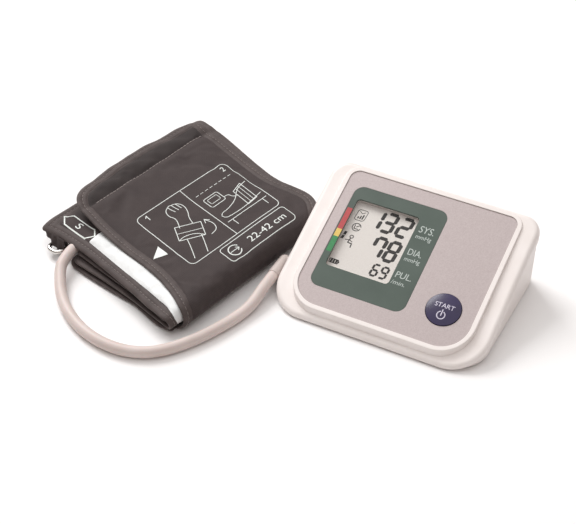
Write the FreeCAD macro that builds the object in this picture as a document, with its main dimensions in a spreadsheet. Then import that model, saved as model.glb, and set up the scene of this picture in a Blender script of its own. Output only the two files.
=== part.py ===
import FreeCAD, Part
import math
import os
import Sketcher
from FreeCAD import Placement, Rotation, Vector

# Upper-arm blood pressure monitor with its folded wrap cuff and air hose.
#
# Frame: millimetres, +Z up, Z = 0 on the table. X runs along the monitor's front edge,
# Y from its front to its back, and the origin is the middle of the footprint of the
# monitor and the cuff together.
#
# The monitor is built round three sloping planes that all rise towards the back:
#   the parting plane   where the upper case sits on the lower case
#   the deck plane      the white wings beside the raised pod
#   the plate plane     the face of the grey panel in the pod
# Pieces behind the face are drawn square to the plate plane, with "drop" counted down
# from the panel's surface. The cuff is drawn in a frame of its own: X across the cuff,
# Y along its strip, from the fold beside the monitor to the ring end.

OUT_FOLDER = "parts"

DIMENSIONS = (
    ("monitor_x", 79.1, "monitor middle from the origin, to the right"),
    ("monitor_y", 10.35, "monitor middle from the origin, to the back"),
    ("case_width", 143.0, "upper case, side to side"),
    ("case_front", 51.8, "monitor middle to the front wall"),
    ("case_back", 55.0, "monitor middle to the back wall"),
    ("case_front_corner", 24.0, "plan radius of the front corners"),
    ("case_back_corner", 12.0, "plan radius of the back corners"),
    ("case_wall", 2.4, "moulded wall of both cases"),
    ("deck_front_height", 3.9, "deck plane above the table at the front wall"),
    ("deck_slope", 23.0, "deck plane, degrees"),
    ("deck_edge_round", 3.4, "round along the deck's outer edge"),
    ("base_height", 0.8, "underside of the lower case above the table"),
    ("parting_front_height", 1.4, "parting plane above the table at the front wall"),
    ("parting_slope", 20.8, "parting plane, degrees"),
    ("lower_inset", 1.5, "lower case in from the upper case all round"),
    ("lower_draft", 1.0, "outward draft of the lower case, degrees"),
    ("plate_width", 114.2, "grey panel, side to side"),
    ("plate_length", 100.2, "grey panel, along the slope"),
    ("plate_middle_y", 1.46, "middle of the panel's face behind the monitor middle"),
    ("plate_middle_z", 28.77, "middle of the panel's face above the table"),
    ("plate_slope", 21.2, "panel's slope, degrees"),
    ("plate_front_corner", 18.0, "panel's front corner radius"),
    ("plate_back_corner", 6.3, "panel's back corner radius"),
    ("plate_thickness", 1.2, "grey panel and green bezel"),
    ("plate_gap", 0.1, "gap round the panel, the bezel and the lens"),
    ("rim_width", 3.2, "white rim round the panel"),
    ("rim_proud", 0.6, "rim above the panel"),
    ("rim_round", 0.5, "round along the rim's outer edge"),
    ("bezel_width", 64.3, "green bezel, side to side"),
    ("bezel_length", 76.6, "green bezel, along the slope"),
    ("bezel_x", -17.65, "bezel middle from the panel middle"),
    ("bezel_y", 1.3, "bezel middle from the panel middle"),
    ("bezel_corner", 6.5, "bezel corner radius"),
    ("view_width", 43.2, "opening over the display"),
    ("view_length", 51.4, "opening over the display"),
    ("view_x", -23.7, "opening middle from the panel middle"),
    ("view_y", 4.45, "opening middle from the panel middle"),
    ("view_corner", 2.5, "opening corner radius"),
    ("lens_border", 2.0, "clear lens past the opening, each side"),
    ("lens_thickness", 0.8, "clear lens"),
    ("glass_border", 2.2, "display glass past the opening, each side"),
    ("glass_thickness", 2.2, "display glass"),
    ("glass_gap", 0.3, "display glass below the case"),
    ("holder_wall", 1.6, "frame round the display glass"),
    ("holder_height", 3.2, "frame round the display glass"),
    ("board_drop", 10.0, "top of the circuit board below the panel's face"),
    ("board_thickness", 1.6, "circuit board"),
    ("board_width", 100.0, "circuit board, side to side"),
    ("board_length", 60.0, "circuit board, along the slope"),
    ("board_x", 2.0, "board middle from the panel middle"),
    ("board_y", -5.1, "board middle from the panel middle"),
    ("button_radius", 11.05, "start button cap"),
    ("button_gap", 0.3, "gap round the start button"),
    ("button_x", 37.0, "button middle from the panel middle"),
    ("button_up", 24.7, "button middle from the panel's front edge"),
    ("button_rise", 0.5, "edge of the cap above the panel"),
    ("button_dome", 1.2, "height of the cap's dome"),
    ("button_flange", 1.6, "flange past the cap"),
    ("button_travel", 0.8, "how far the button goes down"),
    ("floor_opening_half", 51.8, "battery bay opening, half its width"),
    ("bay_half", 53.3, "battery bay inside, half its width"),
    ("bay_front", 21.2, "battery bay inside, front wall"),
    ("bay_wall", 1.5, "battery bay walls and roof"),
    ("cell_radius", 7.1, "AA cell"),
    ("cell_length", 49.0, "AA cell without its button"),
    ("cell_button", 1.0, "length of the cell's button"),
    ("cell_pitch", 14.6, "one row of cells to the next"),
    ("cell_clear", 0.4, "cells clear of the cover and the roof"),
    ("cover_thickness", 2.0, "battery cover"),
    ("cover_gap", 0.3, "gap round the battery cover"),
    ("cover_back_height", 7.6, "top of the cover's upstand above the table"),
    ("socket_y", -14.0, "air socket from the monitor middle"),
    ("socket_z", 8.3, "air socket above the table"),
    ("socket_radius", 4.7, "air socket body"),
    ("socket_fit", 0.05, "running clearance of the plug in its socket"),
    ("plug_stem_radius", 3.0, "plug stem"),
    ("plug_stem_length", 10.0, "plug stem inside the socket"),
    ("plug_arm_radius", 4.0, "elbow arm that holds the hose"),
    ("plug_arm_length", 16.0, "elbow arm, from the stem's axis to the hose"),
    ("plug_out", 4.4, "elbow arm's axis out from the case side"),
    ("hose_radius", 3.7, "air hose"),
    ("cuff_x", -105.0, "cuff's front corner from the monitor middle"),
    ("cuff_y", -93.0, "cuff's front corner from the monitor middle"),
    ("cuff_turn", 76.3, "cuff's own X axis from the X axis, degrees"),
    ("cloth", 3.2, "padded nylon layer"),
    ("cloth_gap", 0.4, "gap between layers"),
    ("fold_out", -4.0, "outside of the fold from the cuff's front corner"),
    ("bladder_thickness", 6.0, "air bladder with its sleeve"),
    ("cuff_near", -4.0, "near selvedge of the inner wrap at the fold"),
    ("cuff_near_skew", 5.5, "near selvedge of the inner wrap, in at its end"),
    ("base_near", -5.5, "near selvedge of the bottom layer"),
    ("cuff_far", 136.0, "far selvedge of the layers"),
    ("flap_near", 3.0, "near selvedge of the flap at its root"),
    ("flap_skew", 19.5, "near selvedge of the flap, in at its free end"),
    ("flap_far", 147.0, "far selvedge of the flap at its free end"),
    ("flap_reach", 125.0, "free end of the flap from the front corner"),
    ("flap_bend_at", 80.0, "where the flap starts to lift"),
    ("flap_lift", 11.0, "slope of the flap's lifted end, degrees"),
    ("tongue_reach", 127.0, "ring end of the upper inner layer"),
    ("lower_reach", 96.0, "end of the lower inner layer"),
    ("base_reach", 100.0, "end of the bottom layer"),
    ("corner_round", 22.0, "plan radius of the corner beside the monitor"),
    ("ring_wire", 1.5, "radius of the ring's wire"),
    ("ring_length", 150.0, "ring across the cuff, outside"),
    ("ring_width", 13.0, "ring along the strip, outside"),
    ("ring_out", 8.5, "ring's hinge bar past the end of the bottom layer"),
    ("ring_height", 5.4, "ring's hinge bar above the table"),
    ("ring_fit", 0.08, "clearance of the ring's bar in its sleeve"),
    ("foot_radius", 4.2, "rubber foot"),
    ("foot_sink", 0.7, "foot's recess in the underside"),
    ("screw_radius", 1.5, "case screw thread"),
    ("screw_head_radius", 2.9, "case screw head"),
    ("board_screw_radius", 1.1, "board screw thread"),
)

# The hose lies on the table from the cuff's port to the elbow plug. Points of its
# route from the monitor's middle, chosen by hand: level at both ends, low between.
HOSE_ROUTE = (
    (-202.2, -66.5, 9.6),
    (-202.5, -80.0, 9.6),
    (-196.8, -91.8, 6.6),
    (-184.9, -107.4, 3.85),
    (-166.4, -121.0, 3.85),
    (-146.2, -128.4, 3.85),
    (-125.2, -128.8, 3.85),
    (-108.0, -121.0, 3.85),
    (-94.4, -103.8, 3.85),
    (-83.8, -82.0, 3.85),
    (-76.8, -60.5, 3.85),
    (-75.9, -43.0, 8.3),
    (-75.9, -30.0, 8.3),
)

doc = FreeCAD.newDocument("PressureMonitor")
sheet = doc.addObject("Spreadsheet::Sheet", "Size")
for row, (alias, number, meaning) in enumerate(DIMENSIONS, start=1):
    sheet.set("A%d" % row, alias)
    sheet.set("B%d" % row, str(number))
    sheet.set("C%d" % row, meaning)
    sheet.setAlias("B%d" % row, alias)
doc.recompute()


# --- sizes that know where they come from -------------------------------------------
def words_of(number):
    if isinstance(number, Length):
        return number.words
    return repr(float(number))


class Length(float):
    """A number that also carries the spreadsheet expression that gives it."""

    def __new__(cls, number, words):
        made = super().__new__(cls, number)
        made.words = words
        return made

    def __add__(self, other):
        return Length(float(self) + float(other), "(%s + %s)" % (self.words, words_of(other)))

    def __radd__(self, other):
        return Length(float(other) + float(self), "(%s + %s)" % (words_of(other), self.words))

    def __sub__(self, other):
        return Length(float(self) - float(other), "(%s - %s)" % (self.words, words_of(other)))

    def __rsub__(self, other):
        return Length(float(other) - float(self), "(%s - %s)" % (words_of(other), self.words))

    def __mul__(self, other):
        return Length(float(self) * float(other), "(%s * %s)" % (self.words, words_of(other)))

    def __rmul__(self, other):
        return Length(float(other) * float(self), "(%s * %s)" % (words_of(other), self.words))

    def __truediv__(self, other):
        return Length(float(self) / float(other), "(%s / %s)" % (self.words, words_of(other)))

    def __neg__(self):
        return Length(-float(self), "(0 - %s)" % self.words)


class Sheet:
    """The driving dimensions by name, read back from the spreadsheet."""

    def __getattr__(self, alias):
        return Length(float(sheet.get(alias)), "Size." + alias)


size = Sheet()


def cosine(angle):
    return Length(math.cos(math.radians(angle)), "cos(%s * 1 deg)" % angle.words)


def bind(made, **lengths):
    """Set properties of a document object, tied to the sheet where a size comes from it."""
    for name, number in lengths.items():
        if isinstance(number, Length):
            made.setExpression(name, number.words)
        else:
            setattr(made, name, number)
    return made


# --- building blocks ----------------------------------------------------------------
NO_TURN = Rotation()
ALONG_X = Rotation(Vector(0, 1, 0), 90)
ALONG_Y = Rotation(Vector(1, 0, 0), -90)


def at(x, y, z, turn=NO_TURN):
    return Placement(Vector(float(x), float(y), float(z)), turn)


def rounded_sketch(body, width, front, back, front_corner, back_corner):
    """A rectangle with rounded corners, even about the Y axis, fully constrained."""
    sketch = body.newObject("Sketcher::SketchObject", body.Name + "_outline")
    plane = [p for p in body.Origin.OriginFeatures if p.Role == "XY_Plane"][0]
    sketch.AttachmentSupport = (plane, [""])
    sketch.MapMode = "FlatFace"
    x, f, b, rf, rb = (float(v) for v in (width / 2, front, back, front_corner, back_corner))
    corners = (
        (x - rf, rf - f, rf, -90),
        (x - rb, b - rb, rb, 0),
        (rb - x, b - rb, rb, 90),
        (rf - x, rf - f, rf, 180),
    )
    lines = (
        ((rf - x, -f), (x - rf, -f)),
        ((x, rf - f), (x, b - rb)),
        ((x - rb, b), (rb - x, b)),
        ((-x, b - rb), (-x, rf - f)),
    )
    up = Vector(0, 0, 1)
    for (start, end), (cx, cy, radius, angle) in zip(lines, corners):
        sketch.addGeometry(Part.LineSegment(Vector(*start, 0), Vector(*end, 0)))
        circle = Part.Circle(Vector(cx, cy, 0), up, radius)
        first = math.radians(angle)
        sketch.addGeometry(Part.ArcOfCircle(circle, first, first + math.pi / 2))
    for index in range(8):
        sketch.addConstraint(Sketcher.Constraint("Tangent", index, 2, (index + 1) % 8, 1))
    for index, way in ((0, "Horizontal"), (2, "Vertical"), (4, "Horizontal"), (6, "Vertical")):
        sketch.addConstraint(Sketcher.Constraint(way, index))
    sketch.addConstraint(Sketcher.Constraint("Equal", 1, 7))
    sketch.addConstraint(Sketcher.Constraint("Equal", 3, 5))
    named = (
        ("front_corner", Sketcher.Constraint("Radius", 1, rf), front_corner),
        ("back_corner", Sketcher.Constraint("Radius", 3, rb), back_corner),
        ("width", Sketcher.Constraint("DistanceX", 6, 1, 2, 1, 2 * x), width),
        ("half", Sketcher.Constraint("DistanceX", -1, 1, 2, 1, x), width / 2),
        ("front", Sketcher.Constraint("DistanceY", 0, 1, -1, 1, f), front),
        ("back", Sketcher.Constraint("DistanceY", -1, 1, 4, 1, b), back),
    )
    for name, constraint, length in named:
        index = sketch.addConstraint(constraint)
        sketch.renameConstraint(index, name)
        if isinstance(length, Length):
            sketch.setExpression("Constraints." + name, length.words)
    return sketch


def rounded_pad(name, width, front, back, front_corner, back_corner, height, place, draft=0.0):
    """A PartDesign body: a rounded rectangle padded upwards, with an outward draft if asked."""
    body = doc.addObject("PartDesign::Body", name)
    sketch = rounded_sketch(body, width, front, back, front_corner, back_corner)
    pad = body.newObject("PartDesign::Pad", name + "_pad")
    pad.Profile = sketch
    bind(pad, Length=height, TaperAngle=draft)
    sketch.Visibility = False
    body.Placement = place
    return body


def plate_pad(name, width, length, corner, height, place):
    """A rounded slab, even about both axes of its own outline."""
    return rounded_pad(name, width, length / 2, length / 2, corner, corner, height, place)


def box(name, length, width, height, place):
    """A Part box whose local origin is its low corner."""
    made = bind(doc.addObject("Part::Box", name), Length=length, Width=width, Height=height)
    made.Placement = place
    return made


def block(name, x, y, z, turn=NO_TURN):
    """A Part box between two X, two Y and two Z values."""
    place = at(x[0], y[0], z[0], turn)
    return box(name, x[1] - x[0], y[1] - y[0], z[1] - z[0], place)


def rod(name, radius, height, place):
    made = bind(doc.addObject("Part::Cylinder", name), Radius=radius, Height=height)
    made.Placement = place
    return made


def fuse(name, pieces, place=None):
    made = doc.addObject("Part::MultiFuse", name)
    made.Shapes = pieces
    made.Refine = True
    made.Placement = place or Placement()
    return made


def cut(name, base, tools, place=None):
    made = doc.addObject("Part::Cut", name)
    made.Base = base
    made.Tool = tools[0] if len(tools) == 1 else fuse(name + "_tools", tools)
    made.Refine = True
    made.Placement = place or Placement()
    return made


def common(name, first, second):
    made = doc.addObject("Part::Common", name)
    made.Base = first
    made.Tool = second
    made.Refine = True
    return made


def group(name, pieces, place=None):
    """Like pieces that share a node, each still a solid of its own."""
    made = doc.addObject("Part::Compound", name)
    made.Links = pieces
    made.Placement = place or Placement()
    return made


def rounded_edges(name, base, radius, wanted):
    """A Part fillet on the edges of base that the test picks by their middle point."""
    doc.recompute()
    made = doc.addObject("Part::Fillet", name)
    made.Base = base
    picked = []
    for index, edge in enumerate(base.Shape.Edges, start=1):
        middle = edge.valueAt((edge.FirstParameter + edge.LastParameter) / 2)
        if wanted(middle, edge):
            picked.append((index, float(radius), float(radius)))
    made.Edges = picked
    return made


def feature(name, shape, place=None):
    made = doc.addObject("Part::Feature", name)
    made.Shape = shape
    made.Placement = place or Placement()
    return made


SPAN = 400.0


def slab_below(name, y, z, slope, thickness=SPAN):
    """A great slab whose upper face rises towards the back through (y, z)."""
    face = at(0, y, z, Rotation(Vector(1, 0, 0), float(slope)))
    return box(name, SPAN, SPAN, thickness, face * at(-SPAN / 2, -SPAN / 2, -thickness))


def slab_above(name, y, z, slope):
    face = at(0, y, z, Rotation(Vector(1, 0, 0), float(slope)))
    return box(name, SPAN, SPAN, SPAN, face * at(-SPAN / 2, -SPAN / 2, 0))


NODES = {}


def keep(name, made):
    """Give a finished sub-part the name of its file."""
    made.Label = name
    NODES[name] = made
    return made


monitor_place = at(size.monitor_x, size.monitor_y, 0)
plate_turn = Rotation(Vector(1, 0, 0), float(size.plate_slope))
plate_local = at(0, size.plate_middle_y, size.plate_middle_z, plate_turn)
plate_place = monitor_place * plate_local
plate_cosine = cosine(size.plate_slope)
plate_sine = math.sin(math.radians(size.plate_slope))

front_wall_y = -size.case_front


def vertical(drop, slope):
    """Height straight down that makes a distance square to a sloping plane."""
    return float(drop) / math.cos(math.radians(slope))


# --- upper case: wings on the deck plane, and the pod with its rim --------------------
lower_half = size.case_width / 2 - size.lower_inset
floor_top = size.base_height + size.case_wall

pod_width = size.plate_width + 2 * size.rim_width
pod_reach = (size.plate_length / 2 + size.rim_width) * plate_cosine
pod_front = pod_reach - size.plate_middle_y
pod_back = pod_reach + size.plate_middle_y
pod_front_corner = size.plate_front_corner + size.rim_width
pod_back_corner = size.plate_back_corner + size.rim_width
floor_drop = size.plate_thickness + size.case_wall
blank_height = size.plate_middle_z + size.case_back
button_y = size.button_up - size.plate_length / 2


def case_blank(name, inset, bottom):
    """The upper case's plan outline, brought in all round by inset."""
    return rounded_pad(
        name,
        size.case_width - 2 * inset,
        size.case_front - inset,
        size.case_back - inset,
        size.case_front_corner - inset,
        size.case_back_corner - inset,
        blank_height,
        at(0, 0, bottom),
    )


def pod_blank(name, inset):
    """The pod's plan outline, brought in all round by inset."""
    return rounded_pad(
        name,
        pod_width - 2 * inset,
        pod_front - inset,
        pod_back - inset,
        pod_front_corner - inset,
        pod_back_corner - inset,
        blank_height,
        at(0, 0, 0),
    )


def under_plate(name, drop):
    """Everything more than drop below the panel's face."""
    height = float(size.plate_middle_z) - vertical(drop, size.plate_slope)
    return slab_below(name, size.plate_middle_y, height, size.plate_slope)


def under_deck(name, drop):
    height = float(size.deck_front_height) - vertical(drop, size.deck_slope)
    return slab_below(name, front_wall_y, height, size.deck_slope)


wings_sharp = common("wings_sharp", case_blank("wings_blank", 0.0, 0.0), under_deck("deck_plane", 0))
deck_rise = math.tan(math.radians(size.deck_slope))


def on_deck(point, edge):
    deck_height = float(size.deck_front_height) + (point.y - float(front_wall_y)) * deck_rise
    return abs(point.z - deck_height) < 0.05


wings = rounded_edges("wings", wings_sharp, size.deck_edge_round, on_deck)

pod_sharp = common("pod_sharp", pod_blank("pod_outline", 0.0), under_plate("rim_plane", -size.rim_proud))
rim_rise = math.tan(math.radians(size.plate_slope))
rim_height_mid = float(size.plate_middle_z) + vertical(size.rim_proud, size.plate_slope)


def on_rim(point, edge):
    rim_height = rim_height_mid + (point.y - float(size.plate_middle_y)) * rim_rise
    return abs(point.z - rim_height) < 0.05


pod = rounded_edges("pod", pod_sharp, size.rim_round, on_rim)
outer_form = fuse("outer_form", [wings, pod])

wings_hollow = common(
    "wings_hollow",
    case_blank("hollow_blank", size.case_wall, -10.0),
    under_deck("deck_inside", size.case_wall),
)
pod_hollow = common(
    "pod_hollow",
    pod_blank("pod_inside", size.case_wall),
    under_plate("face_inside", floor_drop),
)
inner_form = fuse("inner_form", [wings_hollow, pod_hollow])

above_parting = slab_above("above_parting", front_wall_y, size.parting_front_height, size.parting_slope)
upper_solid = common("upper_solid", outer_form, above_parting)

# Recess for the panel, seat for the lens, opening for the display, hole for the button.
plate_seat = plate_local * at(0, 0, -size.plate_thickness)
panel_recess = rounded_pad(
    "panel_recess",
    size.plate_width + 2 * size.plate_gap,
    size.plate_length / 2 + size.plate_gap,
    size.plate_length / 2 + size.plate_gap,
    size.plate_front_corner + size.plate_gap,
    size.plate_back_corner + size.plate_gap,
    10.0,
    plate_seat,
)
lens_drop = size.plate_thickness + size.lens_thickness
lens_width = size.view_width + 2 * size.lens_border
lens_length = size.view_length + 2 * size.lens_border
lens_seat = plate_pad(
    "lens_seat",
    lens_width + 2 * size.plate_gap,
    lens_length + 2 * size.plate_gap,
    size.view_corner,
    5.0,
    plate_local * at(size.view_x, size.view_y, -lens_drop),
)
view_hole = plate_pad(
    "view_hole",
    size.view_width + 1.0,
    size.view_length + 1.0,
    size.view_corner,
    20.0,
    plate_local * at(size.view_x, size.view_y, -10.0),
)
button_hole_radius = size.button_radius + size.button_gap
button_hole = rod(
    "button_hole", button_hole_radius, 20.0, plate_local * at(size.button_x, button_y, -10.0)
)

# Bosses inside the face for the board, and for the four case screws.
BOARD_SCREWS = ((10.0, 19.9), (46.5, 12.9), (-42.0, -30.6), (12.0, -30.6))
BOARD_BOSS_RADIUS = 2.7
PILOT_GAP = 0.05
board_bosses = []
board_pilots = []
for index, (x, y) in enumerate(BOARD_SCREWS):
    foot = plate_local * at(x, y, -size.board_drop)
    boss_height = size.board_drop - floor_drop + 0.2
    board_bosses.append(rod("board_boss_%d" % index, BOARD_BOSS_RADIUS, boss_height, foot))
    board_pilots.append(rod("board_pilot_%d" % index, size.board_screw_radius + PILOT_GAP, 5.5, foot))

# The back screws and feet stand midway between the battery bay and the lower case's side
# wall; the front ones keep their distance from the case's own sides and front.
channel_x = (size.bay_half + size.bay_wall + lower_half - size.case_wall) / 2
case_half = size.case_width / 2
BACK_SCREW = (channel_x, size.case_back - 11.0, 22.0, 10.0)
FRONT_SCREW = (case_half - 17.5, 14.3 - size.case_front, 5.4, 3.2)
CASE_BOSS_RADIUS = 3.0
POST_RADIUS = 4.0
SCREW_HEAD_HEIGHT = 1.8
CASE_SCREWS = [
    (x * side, y, meet, depth)
    for x, y, meet, depth in (BACK_SCREW, FRONT_SCREW)
    for side in (-1, 1)
]
case_bosses = []
case_pilots = []
for index, (x, y, meet, depth) in enumerate(CASE_SCREWS):
    foot = at(x, y, meet)
    case_bosses.append(rod("case_boss_%d" % index, CASE_BOSS_RADIUS, blank_height, foot))
    case_pilots.append(rod("case_pilot_%d" % index, size.screw_radius + PILOT_GAP, depth + 0.4, foot))
bosses_trimmed = common(
    "bosses_trimmed",
    fuse("bosses", case_bosses),
    common(
        "boss_limit",
        outer_form,
        fuse("boss_roof", [under_deck("boss_deck", 1.0), under_plate("boss_face", floor_drop - 0.4)]),
    ),
)
upper_shell = cut("upper_shell", upper_solid, [inner_form])
upper_ribbed = fuse("upper_ribbed", [upper_shell, bosses_trimmed] + board_bosses)
keep(
    "upper_case",
    cut(
        "upper_case_moulded",
        upper_ribbed,
        [panel_recess, lens_seat, view_hole, button_hole] + board_pilots + case_pilots,
        monitor_place,
    ),
)

# --- lower case: a drafted wedge with the battery bay -------------------------------
BOTTOM_ROUND = 2.0


def lower_blank(name, inset, bottom):
    return rounded_pad(
        name,
        2 * lower_half - 2 * inset,
        size.case_front - size.lower_inset - inset,
        size.case_back - size.lower_inset - inset,
        size.case_front_corner - size.lower_inset - inset,
        size.case_back_corner - size.lower_inset - inset,
        blank_height,
        at(0, 0, bottom),
        size.lower_draft,
    )


lower_sharp = lower_blank("lower_sharp", 0.0, size.base_height)
lower_round = rounded_edges(
    "lower_round",
    lower_sharp,
    BOTTOM_ROUND,
    lambda point, edge: abs(point.z - float(size.base_height)) < 0.01,
)
below_parting = slab_below("below_parting", front_wall_y, size.parting_front_height, size.parting_slope)
lower_solid = common("lower_solid", lower_round, below_parting)
lower_hollow = lower_blank("lower_hollow", size.case_wall, floor_top)

lower_back = size.case_back - size.lower_inset
bay_back = lower_back - size.case_wall - 0.2
cell_height = size.base_height + size.cover_thickness + size.cell_clear + size.cell_radius
bay_roof = cell_height + size.cell_radius + size.cell_clear
bay_top = bay_roof + size.bay_wall
bay_shell = block(
    "bay_shell",
    (-size.bay_half - size.bay_wall, size.bay_half + size.bay_wall),
    (size.bay_front - size.bay_wall, lower_back - size.case_wall / 2),
    (floor_top - 0.5, bay_top),
)
bay_space = block(
    "bay_space", (-size.bay_half, size.bay_half), (size.bay_front, bay_back), (floor_top, bay_roof)
)
floor_opening = block(
    "floor_opening",
    (-size.floor_opening_half, size.floor_opening_half),
    (size.bay_front, lower_back + 6.0),
    (-5.0, floor_top + 0.1),
)
back_notch = block(
    "back_notch",
    (-size.floor_opening_half, size.floor_opening_half),
    (bay_back - 0.1, lower_back + 6.0),
    (0.0, size.cover_back_height + size.cover_gap),
)

posts = []
post_holes = []
for index, (x, y, meet, depth) in enumerate(CASE_SCREWS):
    post_height = meet - float(floor_top) + 0.5
    posts.append(rod("post_%d" % index, POST_RADIUS, post_height, at(x, y, floor_top - 0.5)))
    post_holes.append(rod("post_hole_%d" % index, size.screw_radius + 0.2, meet + 5.0, at(x, y, -2.0)))
    post_holes.append(
        rod(
            "head_recess_%d" % index,
            size.screw_head_radius + 0.3,
            size.base_height + SCREW_HEAD_HEIGHT + 0.3,
            at(x, y, -0.3),
        )
    )

FRONT_FOOT = (case_half - 29.5, 11.3 - size.case_front)
BACK_FOOT = (channel_x, size.bay_front + 7.8)
FEET = [(x * side, y) for x, y in (FRONT_FOOT, BACK_FOOT) for side in (-1, 1)]
foot_recesses = []
feet = []
for index, (x, y) in enumerate(FEET):
    foot_recesses.append(
        rod(
            "foot_recess_%d" % index,
            size.foot_radius + 0.1,
            size.base_height + size.foot_sink,
            at(x, y, 0),
        )
    )
    feet.append(rod("foot_%d" % index, size.foot_radius, size.base_height + size.foot_sink, at(x, y, 0)))

wall_x = -lower_half
socket_hole = rod(
    "socket_hole",
    size.socket_radius + 0.1,
    20.0,
    at(float(wall_x) - 10.0, size.socket_y, size.socket_z, ALONG_X),
)

JACK_X = 36.0
JACK_Z = 27.0
JACK_HALF = 4.5
jack_hole = block(
    "jack_hole",
    (JACK_X - JACK_HALF - 0.1, JACK_X + JACK_HALF + 0.1),
    (lower_back - 13.5, lower_back + 16.5),
    (JACK_Z - 5.6, JACK_Z + 5.6),
)

lower_shell = cut("lower_shell", lower_solid, [lower_hollow])
lower_ribbed = fuse("lower_ribbed", [lower_shell, bay_shell] + posts)
keep(
    "lower_case",
    cut(
        "lower_case_moulded",
        lower_ribbed,
        [bay_space, floor_opening, back_notch, socket_hole, jack_hole] + post_holes + foot_recesses,
        monitor_place,
    ),
)
keep("rubber_feet", group("feet", feet, monitor_place))

screws = []
for index, (x, y, meet, depth) in enumerate(CASE_SCREWS):
    head = rod(
        "screw_head_%d" % index,
        size.screw_head_radius,
        SCREW_HEAD_HEIGHT,
        at(x, y, size.base_height),
    )
    shank_top = meet + depth
    shank = rod(
        "screw_shank_%d" % index,
        size.screw_radius,
        shank_top - float(size.base_height),
        at(x, y, size.base_height),
    )
    screws.append(fuse("case_screw_%d" % index, [head, shank]))
keep("case_screws", group("screws", screws, monitor_place))

# --- face: grey panel, green bezel, clear lens --------------------------------------
panel_blank = rounded_pad(
    "panel_blank",
    size.plate_width,
    size.plate_length / 2,
    size.plate_length / 2,
    size.plate_front_corner,
    size.plate_back_corner,
    size.plate_thickness,
    at(0, 0, -size.plate_thickness),
)
bezel_hole = plate_pad(
    "bezel_hole",
    size.bezel_width + 2 * size.plate_gap,
    size.bezel_length + 2 * size.plate_gap,
    size.bezel_corner + size.plate_gap,
    10.0,
    at(size.bezel_x, size.bezel_y, -5.0),
)
panel_button_hole = rod("panel_button_hole", button_hole_radius, 10.0, at(size.button_x, button_y, -5.0))
keep("face_panel", cut("panel_cut", panel_blank, [bezel_hole, panel_button_hole], plate_place))

bezel_blank = plate_pad(
    "bezel_blank",
    size.bezel_width,
    size.bezel_length,
    size.bezel_corner,
    size.plate_thickness,
    at(size.bezel_x, size.bezel_y, -size.plate_thickness),
)
bezel_view = plate_pad(
    "bezel_view",
    size.view_width,
    size.view_length,
    size.view_corner,
    10.0,
    at(size.view_x, size.view_y, -5.0),
)
keep("display_bezel", cut("bezel_cut", bezel_blank, [bezel_view], plate_place))
keep(
    "display_lens",
    plate_pad(
        "lens",
        lens_width,
        lens_length,
        size.view_corner,
        size.lens_thickness,
        plate_place * at(size.view_x, size.view_y, -lens_drop),
    ),
)

# --- display stack -------------------------------------------------------------------
glass_top = floor_drop + size.glass_gap
glass_bottom = glass_top + size.glass_thickness
glass_width = size.view_width + 2 * size.glass_border
glass_length = size.view_length + 2 * size.glass_border
keep(
    "lcd_glass",
    plate_pad(
        "glass",
        glass_width,
        glass_length,
        0.8,
        size.glass_thickness,
        plate_place * at(size.view_x, size.view_y, -glass_bottom),
    ),
)
HOLDER_GAP = 0.1
holder_inner_x = glass_width / 2 + HOLDER_GAP
holder_inner_y = glass_length / 2 + HOLDER_GAP
holder_outer_x = holder_inner_x + size.holder_wall
holder_outer_y = holder_inner_y + size.holder_wall
holder_top = floor_drop + 0.1
holder_bottom = holder_top + size.holder_height
holder_frame = block(
    "holder_frame",
    (-holder_outer_x, holder_outer_x),
    (-holder_outer_y, holder_outer_y),
    (-holder_bottom, -holder_top),
)
holder_space = block(
    "holder_space", (-holder_inner_x, holder_inner_x), (-holder_inner_y, holder_inner_y), (-20.0, 5.0)
)
holder_legs = []
for side in (-1, 1):
    leg_x = (holder_inner_x, holder_outer_x) if side > 0 else (-holder_outer_x, -holder_inner_x)
    holder_legs.append(
        block(
            "holder_leg_%d" % (side + 1),
            leg_x,
            (-holder_outer_y, 16.0),
            (-size.board_drop, -holder_bottom + 0.1),
        )
    )
holder_ring = cut("holder_ring", holder_frame, [holder_space])
keep(
    "lcd_holder",
    fuse("holder", [holder_ring] + holder_legs, plate_place * at(size.view_x, size.view_y, 0)),
)
keep(
    "lcd_connector",
    block(
        "connector",
        (-glass_width / 2 + 1.0, glass_width / 2 - 1.0),
        (-glass_length / 2 + 0.5, -glass_length / 2 + 3.0),
        (-size.board_drop, -glass_bottom),
    ),
)
NODES["lcd_connector"].Placement = (
    plate_place * at(size.view_x, size.view_y, 0) * NODES["lcd_connector"].Placement
)

# --- circuit board and what it carries ----------------------------------------------
board_bottom = size.board_drop + size.board_thickness
board_blank = plate_pad(
    "board_blank",
    size.board_width,
    size.board_length,
    1.5,
    size.board_thickness,
    at(size.board_x, size.board_y, -board_bottom),
)
board_holes = [
    rod("board_hole_%d" % index, size.board_screw_radius + 0.2, 10.0, at(x, y, -size.board_drop - 5.0))
    for index, (x, y) in enumerate(BOARD_SCREWS)
]
keep("circuit_board", cut("board", board_blank, board_holes, plate_place))
board_screws = []
for index, (x, y) in enumerate(BOARD_SCREWS):
    head_bottom = -board_bottom - 1.5
    head = rod("board_head_%d" % index, 2.1, 1.5, at(x, y, head_bottom))
    shank = rod(
        "board_shank_%d" % index,
        size.board_screw_radius,
        1.5 + size.board_thickness + 5.0,
        at(x, y, head_bottom),
    )
    board_screws.append(fuse("board_screw_%d" % index, [head, shank]))
keep("board_screws", group("board_screw_set", board_screws, plate_place))

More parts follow.
